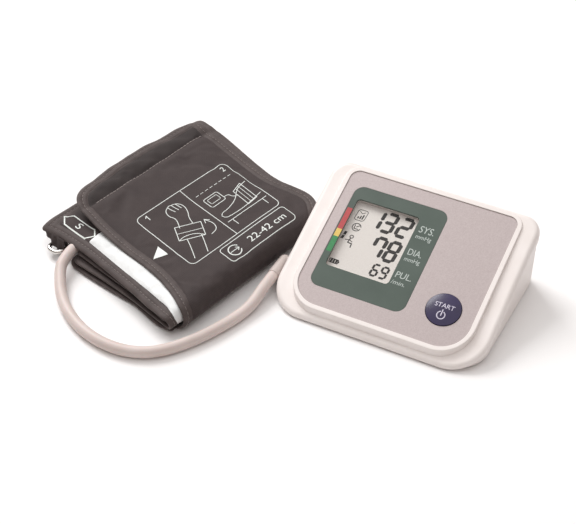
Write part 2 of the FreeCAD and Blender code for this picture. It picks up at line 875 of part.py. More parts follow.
# Start button: domed cap, flange under the face, stem down to the switch.
FLANGE_GAP = 0.25
FLANGE_THICKNESS = 1.2
flange_top = floor_drop + FLANGE_GAP
flange_bottom = flange_top + FLANGE_THICKNESS
switch_height = 3.1
stem_tip = size.board_drop - switch_height - size.button_travel - 0.15
dome_radius = (float(size.button_radius) ** 2 + float(size.button_dome) ** 2) / (2 * float(size.button_dome))
cap_top = float(size.button_rise) + float(size.button_dome)
cap_blank = rod(
    "cap_blank", size.button_radius, float(flange_bottom) + cap_top, at(0, 0, -flange_bottom)
)
dome = bind(doc.addObject("Part::Sphere", "cap_dome"), Radius=dome_radius)
dome.Placement = at(0, 0, cap_top - dome_radius)
cap = common("cap", cap_blank, dome)
flange = rod(
    "cap_flange",
    size.button_radius + size.button_flange,
    FLANGE_THICKNESS,
    at(0, 0, -flange_bottom),
)
stem = rod("cap_stem", 2.4, stem_tip - flange_bottom + 0.2, at(0, 0, -stem_tip))
button_place = plate_place * at(size.button_x, button_y, 0)
keep("start_button", fuse("button", [cap, flange, stem], button_place))
switch_body = block("switch_body", (-3.1, 3.1), (-3.1, 3.1), (-size.board_drop, -size.board_drop + 2.2))
switch_tip = rod("switch_tip", 1.7, switch_height, at(0, 0, -size.board_drop))
keep("tact_switch", fuse("switch", [switch_body, switch_tip], button_place))
keep("buzzer", rod("buzzer_can", 6.0, 3.6, plate_place * at(26.0, 8.9, -size.board_drop)))

# --- air path inside the monitor ------------------------------------------------------
socket_out = float(wall_x) - 0.9
SOCKET_LENGTH = 11.5
socket_in = socket_out + SOCKET_LENGTH
socket_tube = rod(
    "socket_tube", size.socket_radius, socket_in - socket_out, at(
        socket_out,
        size.socket_y,
        size.socket_z,
        ALONG_X,
    )
)
socket_flange = rod(
    "socket_flange", size.socket_radius + 1.6, 0.6, at(socket_out, size.socket_y, size.socket_z, ALONG_X)
)
socket_bore = rod(
    "socket_bore",
    size.plug_stem_radius + size.socket_fit,
    size.plug_stem_length + 0.8,
    at(socket_out - 0.01, size.socket_y, size.socket_z, ALONG_X),
)
socket_vent = rod(
    "socket_vent", 1.5, SOCKET_LENGTH + 1.0, at(socket_out, size.socket_y, size.socket_z, ALONG_X)
)
socket_body = fuse("socket_body", [socket_tube, socket_flange])
keep("air_socket", cut("socket", socket_body, [socket_bore, socket_vent], monitor_place))

manifold_x = (float(wall_x) + 3.0, float(wall_x) + 13.2)
manifold_block = block(
    "manifold_block",
    manifold_x,
    (size.socket_y - 6.0, size.socket_y + 6.0),
    (floor_top, size.socket_z + 5.6),
)
TUBE_RADIUS = 2.4
tube_x = -float(channel_x)
tube_start = (tube_x, float(size.socket_y) + 6.0, float(size.socket_z) + 2.0)
manifold_hollow = rod(
    "manifold_hollow",
    size.socket_radius + 0.15,
    7.75,
    at(manifold_x[0] - 0.01, size.socket_y, size.socket_z, ALONG_X),
)
keep("air_manifold", cut("manifold", manifold_block, [manifold_hollow], monitor_place))


def bent_tube(route, radius, ratio=0.45):
    """A round tube along straight runs joined by tangent arcs; returns it and the radii."""
    points = [Vector(*point) for point in route]
    edges = []
    radii = []
    last = points[0]
    for before, corner, after in zip(points, points[1:], points[2:]):
        inward = (before - corner).normalize()
        outward = (after - corner).normalize()
        turn = math.pi - inward.getAngle(outward)
        setback = ratio * min((before - corner).Length, (after - corner).Length)
        bend = setback / math.tan(turn / 2)
        radii.append(bend)
        start = corner + inward * setback
        end = corner + outward * setback
        middle = corner + (inward + outward).normalize() * (bend / math.cos(turn / 2) - bend)
        edges.append(Part.LineSegment(last, start).toShape())
        edges.append(Part.Arc(start, middle, end).toShape())
        last = end
    edges.append(Part.LineSegment(last, points[-1]).toShape())
    spine = Part.Wire(edges)
    mouth = Part.Wire(Part.makeCircle(radius, points[0], points[1] - points[0]))
    solid = spine.makePipeShell([mouth], True, False)
    if solid.Volume < 0:
        solid.reverse()
    expected = math.pi * radius**2 * spine.Length
    print("tube: length %.1f, bend radii %s" % (spine.Length, [round(bend, 1) for bend in radii]))
    print("tube: volume / (section x length) = %.5f" % (solid.Volume / expected))
    return solid


PUMP_RADIUS = 8.8
PUMP_Y = float(size.case_back) - 13.0
pump_z = float(bay_top) + 0.4 + PUMP_RADIUS
HEAD_X = (-44.0, -28.0)
MOTOR_X = (-28.0, 1.0)
HEAD_FRONT = 6.0
HEAD_HALF = 7.6
keep(
    "pump_motor",
    rod(
        "motor",
        PUMP_RADIUS,
        MOTOR_X[1] - MOTOR_X[0],
        monitor_place * at(MOTOR_X[0], PUMP_Y, pump_z, ALONG_X),
    ),
)
head_block = block(
    "head_block",
    HEAD_X,
    (PUMP_Y - HEAD_FRONT, PUMP_Y + HEAD_HALF),
    (pump_z - HEAD_HALF, pump_z + HEAD_FRONT),
)
NOZZLE_Y = PUMP_Y - 4.0
nozzle = rod("head_nozzle", 1.8, 5.0, at(HEAD_X[0] - 4.0, NOZZLE_Y, pump_z, ALONG_X))
keep("pump_head", fuse("head", [head_block, nozzle], monitor_place))
cushion_block = block(
    "cushion_block",
    (MOTOR_X[0] + 0.5, MOTOR_X[1] - 0.5),
    (PUMP_Y - 8.5, PUMP_Y + 8.5),
    (bay_top, bay_top + 5.0),
)
cushion_hollow = rod("cushion_hollow", PUMP_RADIUS + 0.05, 60.0, at(-40.0, PUMP_Y, pump_z, ALONG_X))
keep("pump_cushion", cut("cushion", cushion_block, [cushion_hollow], monitor_place))

VALVE_RADIUS = 5.5
valve_z = float(bay_top) + 0.3 + VALVE_RADIUS
valve_coil = rod("valve_coil", VALVE_RADIUS, 15.0, at(7.0, PUMP_Y, valve_z, ALONG_X))
valve_yoke = block("valve_yoke", (22.0, 24.0), (PUMP_Y - 5.5, PUMP_Y + 5.5), (bay_top, bay_top + 11.6))
keep("exhaust_valve", fuse("valve", [valve_coil, valve_yoke], monitor_place))

pump_tube_route = (
    tube_start,
    (tube_x, float(size.bay_front) - 9.2, tube_start[2]),
    (tube_x, float(size.bay_front) + 5.8, pump_z - 5.0),
    (tube_x + 4.0, NOZZLE_Y, pump_z),
    (HEAD_X[0] - 4.0, NOZZLE_Y, pump_z),
)
keep("pump_tube", feature("pump_tube_solid", bent_tube(pump_tube_route, TUBE_RADIUS), monitor_place))

# Pressure sensor under the board, joined to the manifold by a short tube.
SENSOR_X = -44.0
SENSOR_Y = -12.1
sensor_body = block(
    "sensor_body",
    (SENSOR_X, SENSOR_X + 9.0),
    (SENSOR_Y - 4.0, SENSOR_Y + 4.0),
    (-board_bottom - 4.0, -board_bottom),
)
sensor_port = rod("sensor_port", 1.3, 4.0, at(SENSOR_X - 3.5, SENSOR_Y, -board_bottom - 2.2, ALONG_X))
keep("pressure_sensor", fuse("sensor", [sensor_body, sensor_port], plate_place))
port_tip = plate_local.multVec(Vector(SENSOR_X - 3.5, SENSOR_Y, float(-board_bottom) - 2.2))
tap = Vector(manifold_x[1], float(size.socket_y) - 3.0, float(size.socket_z) + 0.5)
sensor_tube_place = Placement(tap, Rotation(Vector(0, 0, 1), port_tip - tap))
sensor_tube_length = (port_tip - tap).Length
sensor_tube_rod = rod(
    "sensor_tube_rod",
    2.0,
    sensor_tube_length + 3.0,
    monitor_place * sensor_tube_place * at(0, 0, -1.5),
)
keep(
    "sensor_tube",
    cut("sensor_tube_cut", sensor_tube_rod, [NODES["air_manifold"], NODES["pressure_sensor"]]),
)

# --- power inlet ----------------------------------------------------------------------
jack_back = float(lower_back) + 0.2
jack_body = block(
    "jack_body",
    (JACK_X - JACK_HALF, JACK_X + JACK_HALF),
    (jack_back - 13.0, jack_back),
    (JACK_Z - 5.5, JACK_Z + 5.5),
)
jack_mouth = rod("jack_mouth", 2.8, 10.0, at(JACK_X, jack_back - 9.5, JACK_Z, ALONG_Y))
jack_shell = cut("jack_shell", jack_body, [jack_mouth])
jack_pin = rod("jack_pin", 1.0, 9.0, at(JACK_X, jack_back - 10.0, JACK_Z, ALONG_Y))
keep("dc_jack", fuse("jack", [jack_shell, jack_pin], monitor_place))

# --- cells, contacts and cover --------------------------------------------------------
first_row = size.bay_front + 0.3 + size.cell_radius
rows = (first_row, first_row + size.cell_pitch)
cell_step = size.cell_length + size.cell_button
cells = []
springs = []
plates = []
for index, row_y in enumerate(rows):
    way = 1 if index == 0 else -1
    turn = ALONG_X if way > 0 else Rotation(Vector(0, 1, 0), -90)
    for place_in_row in (0, 1):
        start = way * (place_in_row - 1) * cell_step
        body_rod = rod(
            "cell_body_%d_%d" % (index, place_in_row),
            size.cell_radius,
            size.cell_length,
            at(start, row_y, cell_height, turn),
        )
        button_rod = rod(
            "cell_button_%d_%d" % (index, place_in_row),
            2.7,
            cell_step,
            at(start, row_y, cell_height, turn),
        )
        cells.append(fuse("cell_%d_%d" % (index, place_in_row), [body_rod, button_rod]))
    spring_end = way * -1 * float(size.bay_half)
    plate_end = way * float(size.bay_half)
    reach = float(size.bay_half) - float(cell_step)
    cone = bind(
        doc.addObject("Part::Cone", "spring_%d" % index),
        Radius1=4.0,
        Radius2=2.4,
        Height=reach - 0.4,
    )
    cone.Placement = at(spring_end + way * 0.4, row_y, cell_height, turn)
    springs.append(cone)
    back_plate = rod("spring_plate_%d" % index, 5.2, 0.4, at(spring_end, row_y, cell_height, turn))
    front_disc = rod(
        "contact_disc_%d" % index,
        5.2,
        0.4,
        at(plate_end - way * 0.4, row_y, cell_height, turn),
    )
    front_stub = rod(
        "contact_stub_%d" % index,
        2.5,
        reach - 0.02,
        at(plate_end - way * (reach - 0.02), row_y, cell_height, turn),
    )
    plates.append(back_plate)
    plates.append(fuse("contact_%d" % index, [front_disc, front_stub]))
keep("battery_cells", group("cells", cells, monitor_place))
keep("battery_springs", group("springs", springs, monitor_place))
keep("battery_contacts", group("contacts", plates, monitor_place))

cover_half = size.floor_opening_half - size.cover_gap
cover_top = size.base_height + size.cover_thickness
cover_plate = block(
    "cover_plate",
    (-cover_half, cover_half),
    (size.bay_front + size.cover_gap, lower_back),
    (size.base_height, cover_top),
)
cover_back = block(
    "cover_back",
    (-cover_half, cover_half),
    (bay_back + size.cover_gap, lower_back),
    (size.base_height, size.cover_back_height),
)
tongue_y = (rows[0] + size.cell_pitch / 2 - 2.0, rows[0] + size.cell_pitch / 2 + 2.0)
tongues = []
for side in (-1, 1):
    inner = cell_step + 0.35
    outer = size.bay_half - 0.4
    root_x = (inner, cover_half) if side > 0 else (-cover_half, -inner)
    lip_x = (inner, outer) if side > 0 else (-outer, -inner)
    tongues.append(block("tongue_root_%d" % (side + 1), root_x, tongue_y, (cover_top - 0.2, floor_top + 1.2)))
    tongues.append(block("tongue_lip_%d" % (side + 1), lip_x, tongue_y, (floor_top + 0.15, floor_top + 1.2)))
GRIP_RIBS = 5
GRIP_PITCH = 2.4
grips = [
    block(
        "grip_%d" % index,
        (-9.0, 9.0),
        (bay_back - 6.0 - index * GRIP_PITCH, bay_back - 5.0 - index * GRIP_PITCH),
        (size.base_height - 0.1, size.base_height + 0.5),
    )
    for index in range(GRIP_RIBS)
]
cover_plain = fuse("cover_plain", [cover_plate, cover_back] + tongues)
keep("battery_cover", cut("cover", cover_plain, grips, monitor_place))

# --- elbow plug and hose ----------------------------------------------------------------
arm_x = -float(size.case_width) / 2 - float(size.plug_out)
stem_start = arm_x
stem_end = socket_out + float(size.plug_stem_length)
plug_stem = rod(
    "plug_stem",
    size.plug_stem_radius,
    stem_end - stem_start,
    at(stem_start, size.socket_y, size.socket_z, ALONG_X),
)
plug_neck = rod(
    "plug_neck",
    size.plug_arm_radius - 0.4,
    socket_out - 0.25 - stem_start,
    at(stem_start, size.socket_y, size.socket_z, ALONG_X),
)
plug_arm = rod(
    "plug_arm",
    size.plug_arm_radius,
    size.plug_arm_length,
    at(arm_x, size.socket_y - size.plug_arm_length, size.socket_z, ALONG_Y),
)
plug_knuckle = bind(doc.addObject("Part::Sphere", "plug_knuckle"), Radius=size.plug_arm_radius)
plug_knuckle.Placement = at(arm_x, size.socket_y, size.socket_z)
keep("air_plug", fuse("plug", [plug_stem, plug_neck, plug_arm, plug_knuckle], monitor_place))
print("hose should end at", (arm_x, float(size.socket_y - size.plug_arm_length), float(size.socket_z)))
keep("air_hose", feature("air_hose_solid", bent_tube(HOSE_ROUTE, float(size.hose_radius)), monitor_place))

# --- cuff -----------------------------------------------------------------------------
cuff_turn = Rotation(Vector(0, 0, 1), float(size.cuff_turn))
cuff_place = monitor_place * at(size.cuff_x, size.cuff_y, 0, cuff_turn)

half_cloth = float(size.cloth) / 2
layer_step = float(size.cloth) + float(size.cloth_gap)
base_z = half_cloth
lower_z = base_z + layer_step
bladder_low = lower_z + half_cloth + float(size.cloth_gap)
tongue_z = bladder_low + float(size.bladder_thickness) + float(size.cloth_gap) + half_cloth
flap_z = tongue_z + layer_step
fold_z = (base_z + flap_z) / 2
outer_bend = (flap_z - base_z) / 2
inner_bend = (tongue_z - lower_z) / 2
fold_y = float(size.fold_out) + half_cloth + outer_bend


def layer(name, centreline, near, far):
    """A cloth layer: its thickness laid evenly about a line seen from the side."""
    face = Part.Wire([edge.toShape() for edge in centreline]).makeOffset2D(half_cloth, 0, True, False)
    face.translate(Vector(near, 0, 0))
    return feature(name, face.extrude(Vector(far - near, 0, 0)))


def side(y, z):
    """A point of the cuff seen from its near selvedge."""
    return Vector(0, y, z)


def plan(name, corners, height=60.0):
    """An upright prism on a plan outline; each corner is X, Y and its radius."""
    edges = []
    count = len(corners)
    ends = []
    for index, (x, y, radius) in enumerate(corners):
        corner = Vector(x, y, -1.0)
        before = Vector(*corners[index - 1][:2], -1.0)
        after = Vector(*corners[(index + 1) % count][:2], -1.0)
        inward = (before - corner).normalize()
        outward = (after - corner).normalize()
        half = inward.getAngle(outward) / 2
        setback = radius / math.tan(half)
        start = corner + inward * setback
        end = corner + outward * setback
        middle = corner + (inward + outward).normalize() * (radius / math.sin(half) - radius)
        ends.append((start, middle, end))
    for index, (start, middle, end) in enumerate(ends):
        edges.append(Part.Arc(start, middle, end).toShape())
        edges.append(Part.makeLine(end, ends[(index + 1) % count][0]))
    return feature(name, Part.Face(Part.Wire(edges)).extrude(Vector(0, 0, height)))


far_edge = float(size.cuff_far)
outer_line = [
    Part.LineSegment(side(float(size.base_reach), base_z), side(fold_y, base_z)),
    Part.Arc(side(fold_y, base_z), side(fold_y - outer_bend, fold_z), side(fold_y, flap_z)),
]
outer_wrap = layer("outer_wrap", outer_line, float(size.base_near), far_edge)
ROOT_GAP = 0.5
root_reach = half_cloth + ROOT_GAP
root_hollow = rod("root_hollow", root_reach, SPAN, at(-100.0, fold_y, flap_z, ALONG_X))
outer_wrap_cut = cut("outer_wrap_cut", outer_wrap, [root_hollow])
ROUND_NEAR = 7.0
ROUND_END = 1.0
corner_round = float(size.corner_round)
fold_edge = float(size.fold_out) - 0.5
base_near = float(size.base_near)
outer_plan = plan(
    "outer_plan",
    (
        (base_near, fold_edge, ROUND_NEAR),
        (far_edge, fold_edge, corner_round),
        (far_edge, 150.0, ROUND_END),
        (base_near, 150.0, ROUND_END),
    ),
)
outer_trimmed = common("outer_trimmed", outer_wrap_cut, outer_plan)
outer_trimmed.Placement = cuff_place
keep("cuff_outer_wrap", outer_trimmed)

inner_line = [
    Part.LineSegment(side(float(size.lower_reach), lower_z), side(fold_y, lower_z)),
    Part.Arc(side(fold_y, lower_z), side(fold_y - inner_bend, fold_z), side(fold_y, tongue_z)),
    Part.LineSegment(side(fold_y, tongue_z), side(float(size.tongue_reach), tongue_z)),
]
inner_wrap = layer("inner_wrap", inner_line, float(size.cuff_near) - 5.0, far_edge + 5.0)
inner_near = float(size.cuff_near)
inner_end = float(size.tongue_reach) + half_cloth
inner_plan = plan(
    "inner_plan",
    (
        (inner_near, fold_edge, ROUND_NEAR),
        (far_edge - 2.0, fold_edge, corner_round),
        (far_edge - 2.0, inner_end + 10.0, ROUND_END),
        (inner_near + float(size.cuff_near_skew), inner_end + 10.0, ROUND_END),
    ),
)
inner_trimmed = common("inner_trimmed", inner_wrap, inner_plan)
inner_trimmed.Placement = cuff_place
keep("cuff_inner_wrap", inner_trimmed)

# Flap: root at the fold, a flat run, then the free end lifts.
lift = math.radians(size.flap_lift)
BEND_RUN = 14.0
bend_at = float(size.flap_bend_at)
bend_radius = BEND_RUN / math.sin(lift)
bend_mid = Vector(
    0, bend_at + bend_radius * math.sin(lift / 2), flap_z + bend_radius * (1 - math.cos(lift / 2))
)
bend_end = Vector(0, bend_at + BEND_RUN, flap_z + bend_radius * (1 - math.cos(lift)))
straight = (float(size.flap_reach) - half_cloth - bend_end.y) / math.cos(lift)
tip = bend_end + Vector(0, math.cos(lift), math.sin(lift)) * straight
flap_line = [
    Part.LineSegment(side(fold_y, flap_z), side(bend_at, flap_z)),
    Part.Arc(side(bend_at, flap_z), bend_mid, bend_end),
    Part.LineSegment(bend_end, tip),
]
flap_sheet = layer("flap_sheet", flap_line, -20.0, float(size.flap_far) + 20.0)
flap_near = float(size.flap_near)
flap_end = float(size.flap_reach)
FLAP_NEAR_ROUND = 13.0
FLAP_FAR_ROUND = 6.0
flap_plan = plan(
    "flap_plan",
    (
        (flap_near, fold_edge, ROUND_NEAR),
        (far_edge, fold_edge, corner_round),
        (far_edge, 50.0, 60.0),
        (float(size.flap_far), flap_end, FLAP_FAR_ROUND),
        (flap_near + float(size.flap_skew), flap_end, FLAP_NEAR_ROUND),
    ),
)
flap_trimmed = common("flap_trimmed", flap_sheet, flap_plan)
flap_trimmed.Placement = cuff_place
keep("cuff_flap", flap_trimmed)

# Hook patch under the flap's end, loop patch on the layer below it.
PATCH_X = (32.0, 130.0)
PATCH_THICKNESS = 1.0
hook_place = Placement(
    bend_end + Vector(0, -math.sin(lift), math.cos(lift)) * (-half_cloth - PATCH_THICKNESS),
    Rotation(Vector(1, 0, 0), float(size.flap_lift)),
)
hook_box = box(
    "hook_box",
    PATCH_X[1] - PATCH_X[0],
    straight - 2.0,
    PATCH_THICKNESS,
    cuff_place * hook_place * at(PATCH_X[0], 1.0, 0),
)
keep("hook_patch", hook_box)
loop_low = tongue_z + half_cloth
keep(
    "loop_patch",
    box(
        "loop_box",
        PATCH_X[1] - PATCH_X[0],
        26.0,
        PATCH_THICKNESS,
        cuff_place * at(PATCH_X[0], float(size.flap_reach) - 28.0, loop_low),
    ),
)

# Bladder between the inner layers, with its moulded port for the hose.
BLADDER_X = (13.0, 126.0)
BLADDER_REACH = 105.2
bladder_blank = block(
    "bladder_blank",
    BLADDER_X,
    (fold_y + 1.0, BLADDER_REACH),
    (bladder_low, bladder_low + float(size.bladder_thickness)),
)
bladder_round = rounded_edges(
    "bladder_round",
    bladder_blank,
    2.6,
    lambda point, edge: True,
)
bladder_round.Placement = cuff_place

hose_start = Vector(*HOSE_ROUTE[0])
first_run = (Vector(*HOSE_ROUTE[1]) - hose_start).normalize()
port_turn = Rotation(Vector(0, 0, 1), first_run * -1)
PORT_RADIUS = 3.6
PORT_LENGTH = 13.5
port_place = monitor_place * Placement(hose_start, port_turn)
keep("hose_port", rod("port", PORT_RADIUS, PORT_LENGTH, port_place))
keep("air_bladder", cut("bladder", bladder_round, [NODES["hose_port"]]))

# Metal ring: a long loop of wire whose near bar turns in a sewn sleeve.
wire = float(size.ring_wire)
ring_half = float(size.ring_length) / 2 - wire
ring_far = float(size.ring_width) - 2 * wire
CORNER = 4.0
ring_path = (
    Part.makeLine(Vector(-ring_half + CORNER, 0, 0), Vector(ring_half - CORNER, 0, 0)),
    Part.Arc(
        Vector(ring_half - CORNER, 0, 0),
        Vector(
            ring_half - CORNER + CORNER * math.sin(math.pi / 4),
            CORNER * (1 - math.cos(math.pi / 4)),
            0,
        ),
        Vector(ring_half, CORNER, 0),
    ).toShape(),
    Part.makeLine(Vector(ring_half, CORNER, 0), Vector(ring_half, ring_far - CORNER, 0)),
    Part.Arc(
        Vector(ring_half, ring_far - CORNER, 0),
        Vector(
            ring_half - CORNER * (1 - math.cos(math.pi / 4)),
            ring_far - CORNER + CORNER * math.sin(math.pi / 4),
            0,
        ),
        Vector(ring_half - CORNER, ring_far, 0),
    ).toShape(),
    Part.makeLine(Vector(ring_half - CORNER, ring_far, 0), Vector(-ring_half + CORNER, ring_far, 0)),
    Part.Arc(
        Vector(-ring_half + CORNER, ring_far, 0),
        Vector(
            -ring_half + CORNER * (1 - math.cos(math.pi / 4)),
            ring_far - CORNER + CORNER * math.sin(math.pi / 4),
            0,
        ),
        Vector(-ring_half, ring_far - CORNER, 0),
    ).toShape(),
    Part.makeLine(Vector(-ring_half, ring_far - CORNER, 0), Vector(-ring_half, CORNER, 0)),
    Part.Arc(
        Vector(-ring_half, CORNER, 0),
        Vector(-ring_half + CORNER * (1 - math.cos(math.pi / 4)), CORNER * (1 - math.cos(math.pi / 4)), 0),
        Vector(-ring_half + CORNER, 0, 0),
    ).toShape(),
)
ring_spine = Part.Wire(ring_path)
ring_mouth = Part.Wire(Part.makeCircle(wire, Vector(0, 0, 0), Vector(1, 0, 0)))
ring_mouth.translate(Vector(-ring_half + CORNER, 0, 0))
ring_solid = ring_spine.makePipeShell([ring_mouth], True, False)
ring_middle = 68.0
ring_bar = size.base_reach + size.ring_out
ring_place = cuff_place * at(ring_middle, ring_bar, size.ring_height)
keep("cuff_ring", feature("ring", ring_solid, ring_place))

SLEEVE_X = (14.0, 122.0)
TAIL_X = (17.0, 122.0)
sleeve_radius = wire + float(size.ring_fit) + 1.6
sleeve_tube = rod(
    "sleeve_tube",
    sleeve_radius,
    SLEEVE_X[1] - SLEEVE_X[0],
    at(SLEEVE_X[0], ring_bar, size.ring_height, ALONG_X),
)
sleeve_bore = rod(
    "sleeve_bore",
    wire + float(size.ring_fit),
    200.0,
    at(-20.0, ring_bar, size.ring_height, ALONG_X),
)
sleeve_tail = block(
    "sleeve_tail",
    TAIL_X,
    (size.lower_reach + half_cloth - 0.7, ring_bar),
    (lower_z - 1.2, lower_z + 1.2),
)
sleeve_whole = fuse("sleeve_whole", [sleeve_tube, sleeve_tail])
keep("ring_sleeve", cut("sleeve", sleeve_whole, [sleeve_bore, inner_wrap], cuff_place))

# --- check and write --------------------------------------------------------------------
doc.recompute()
for made in doc.Objects:
    if "Invalid" in made.State or "Error" in made.State:
        raise RuntimeError("%s failed: %s" % (made.Label, made.State))
for name, made in NODES.items():
    shape = made.Shape
    if shape.isNull() or not shape.isValid() or shape.Volume <= 0:
        raise RuntimeError("%s has no good shape" % name)

os.makedirs(OUT_FOLDER, exist_ok=True)
low = Vector(1e9, 1e9, 1e9)
high = Vector(-1e9, -1e9, -1e9)
for name, made in NODES.items():
    made.Shape.exportStep(os.path.join(OUT_FOLDER, name + ".step"))
    bounds = made.Shape.optimalBoundingBox(False)
    if name in ("air_hose", "air_plug", "hose_port"):
        continue
    low = Vector(min(low.x, bounds.XMin), min(low.y, bounds.YMin), min(low.z, bounds.ZMin))
    high = Vector(max(high.x, bounds.XMax), max(high.y, bounds.YMax), max(high.z, bounds.ZMax))
print("sub-parts: %d" % len(NODES))
print("without the hose: X %.2f to %.2f, Y %.2f to %.2f" % (low.x, high.x, low.y, high.y))
print("without the hose: Z %.2f to %.2f" % (low.z, high.z))
print("middle off by %.2f, %.2f" % ((low.x + high.x) / 2, (low.y + high.y) / 2))
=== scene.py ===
# %% [markdown]
# An upper-arm blood pressure monitor, finished in Blender.
# The real object is a wedge-shaped desk monitor of moulded plastic and a nylon wrap cuff,
# folded flat, joined to it by one air hose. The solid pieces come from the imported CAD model,
# and this lesson gives them their finishes, and makes everything that is cloth, print or
# thread. Work goes from the fixed frame outwards: camera, light, hose, monitor, then cuff.

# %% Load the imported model
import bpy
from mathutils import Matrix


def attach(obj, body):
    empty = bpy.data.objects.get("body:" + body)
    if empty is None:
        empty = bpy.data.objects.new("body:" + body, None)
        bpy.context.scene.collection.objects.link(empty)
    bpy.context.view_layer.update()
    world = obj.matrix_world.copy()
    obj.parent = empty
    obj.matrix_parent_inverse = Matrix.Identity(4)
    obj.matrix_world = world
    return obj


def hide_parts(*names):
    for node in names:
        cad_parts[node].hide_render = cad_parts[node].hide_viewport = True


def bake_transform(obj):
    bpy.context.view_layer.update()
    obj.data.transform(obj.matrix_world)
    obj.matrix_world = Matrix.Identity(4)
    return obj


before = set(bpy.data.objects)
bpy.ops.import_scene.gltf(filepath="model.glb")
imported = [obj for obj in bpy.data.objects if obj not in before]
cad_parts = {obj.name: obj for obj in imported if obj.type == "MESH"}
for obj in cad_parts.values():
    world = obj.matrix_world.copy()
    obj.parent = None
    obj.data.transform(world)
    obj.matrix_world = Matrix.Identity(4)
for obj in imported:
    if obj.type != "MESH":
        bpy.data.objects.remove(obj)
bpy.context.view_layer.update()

# %% Tools from Blender and Python
import math

import bmesh
import bpy
from mathutils import Matrix, Vector
from mathutils.bvhtree import BVHTree
from mathutils.geometry import delaunay_2d_cdt
from mathutils.noise import noise

# %% [markdown]
# Sizes on a drawing are in millimetres, and Blender counts in metres, so one constant turns
# one into the other. Two sloping or turned frames carry almost every piece: the face of the
# monitor, which rises to the back by 21.2 degrees, and the cuff, whose own X runs across the
# cloth band and whose own Y runs along it. A matrix for each lets a piece be drawn flat, in
# plain numbers, and then set in its place.

# %% Units and the two working frames
MM = 0.001
MONITOR_AT = Vector((79.1, 10.35, 0.0))
FACE_ORIGIN = MONITOR_AT + Vector((0.0, 1.46, 28.77))
FACE_SLOPE = math.radians(21.2)
CUFF_CORNER = Vector((-25.9, -82.65, 0.0))
CUFF_TURN = math.radians(76.3)

face_frame = Matrix.Translation(FACE_ORIGIN) @ Matrix.Rotation(FACE_SLOPE, 4, "X")
cuff_frame = Matrix.Translation(CUFF_CORNER) @ Matrix.Rotation(CUFF_TURN, 4, "Z")


def set_in(frame_matrix, spot):
    """A spot in mm in one of the working frames, as a world point in metres."""
    return frame_matrix @ Vector(spot) * MM


print("face normal:", tuple(round(v, 3) for v in face_frame.to_3x3().col[2]))

# %% [markdown]
# The camera looks down on the pair from the front right, with a long lens, as product
# pictures are taken, so that edges stay close to parallel. It could be aimed with a
# constraint, but its place and its two angles are known, so its axes are written straight
# into its matrix.

# %% Camera
CAMERA_AT = Vector((335.9, -641.95, 620.9)) * MM
CAMERA_AZIMUTH = math.radians(27.36)
CAMERA_ELEVATION = math.radians(40.45)
scene = bpy.context.scene


def linked(name, data):
    """A new object that holds this data, put into the scene."""
    made = bpy.data.objects.new(name, data)
    scene.collection.objects.link(made)
    return made


camera = linked("camera", bpy.data.cameras.new("camera"))
camera.data.lens = 92.0
camera.data.sensor_width = 36.0
camera.data.clip_start = 0.05
back = Vector((
    math.sin(CAMERA_AZIMUTH) * math.cos(CAMERA_ELEVATION),
    -math.cos(CAMERA_AZIMUTH) * math.cos(CAMERA_ELEVATION),
    math.sin(CAMERA_ELEVATION),
))
right = Vector((math.cos(CAMERA_AZIMUTH), math.sin(CAMERA_AZIMUTH), 0.0))
axes = Matrix((right, back.cross(right), back)).transposed()
camera.matrix_world = Matrix.Translation(CAMERA_AT) @ axes.to_4x4()
scene.camera = camera
print("camera is", round(CAMERA_AT.length, 3), "m from the origin")

# %% [markdown]
# Colours are read off a paint card as sRGB hex values, but Cycles mixes light in linear
# values, so one function turns the first into the second. A second function adds a shader
# node with its settings and its links in one call, which keeps each material short enough
# to read from top to bottom. Patterns are planned in millimetres, so two more functions turn
# a real size into the scale that a texture asks for.

# %% Colour and node helpers
def linear(hex_colour):
    """A colour card's hex value as the linear RGBA that shaders mix."""
    parts = [int(hex_colour[i:i + 2], 16) / 255 for i in (1, 3, 5)]
    return tuple(p / 12.92 if p <= 0.04045 else ((p + 0.055) / 1.055) ** 2.4 for p in parts) + (1.0,)


def add(material, kind, inputs=None, into=None, **settings):
    """Adds a node: an input is a value or another node's output; into is what the node feeds."""
    made = material.node_tree.nodes.new(kind)
    links = material.node_tree.links
    for name, setting in settings.items():
        setattr(made, name, setting)
    for socket, value in (inputs or {}).items():
        if isinstance(value, bpy.types.NodeSocket):
            links.new(value, made.inputs[socket])
        else:
            made.inputs[socket].default_value = value
    if into is not None:
        links.new(made.outputs[0], into)
    return made


def finish(name, **sockets):
    """A material whose Principled shader has these sockets set, and that shader."""
    material = bpy.data.materials.new(name)
    material.use_nodes = True
    shader = material.node_tree.nodes["Principled BSDF"]
    for socket, value in sockets.items():
        shader.inputs[socket.replace("_", " ")].default_value = value
    return material, shader


def size_of(millimetres):
    """The texture scale whose features are that big, for coordinates in metres."""
    return 1.0 / (millimetres * MM)


def ripple(millimetres):
    """The Wave texture's scale for bands that far apart, for coordinates in metres."""
    return 2.0 * math.pi / 20.0 / (millimetres * MM)


def two_tones(material, shader, factor, low, high, start=0.3, end=0.7):
    """Colours the shader by a soft ramp between two hex colours, steered by a texture."""
    mix = add(material, "ShaderNodeValToRGB", {"Fac": factor}, into=shader.inputs["Base Color"])
    first, last = mix.color_ramp.elements
    first.position, first.color = start, linear(low)
    last.position, last.color = end, linear(high)


print("white card, linear:", linear("#f4f0ee"))

# %% [markdown]
# The studio is a pale table under a very large, weak soft box overhead, with a stronger one
# high at the back left, four metres off, in a dim and slightly warm room. The overhead box
# keeps shadows soft and short, and the other gives them a direction, to the front right. It
# stands where neither the face nor the flat cuff mirrors it to the camera, so dark colours
# stay dark. The Standard view keeps each colour as its card says.

# %% Table, room and soft boxes
scene.view_settings.view_transform = "Standard"

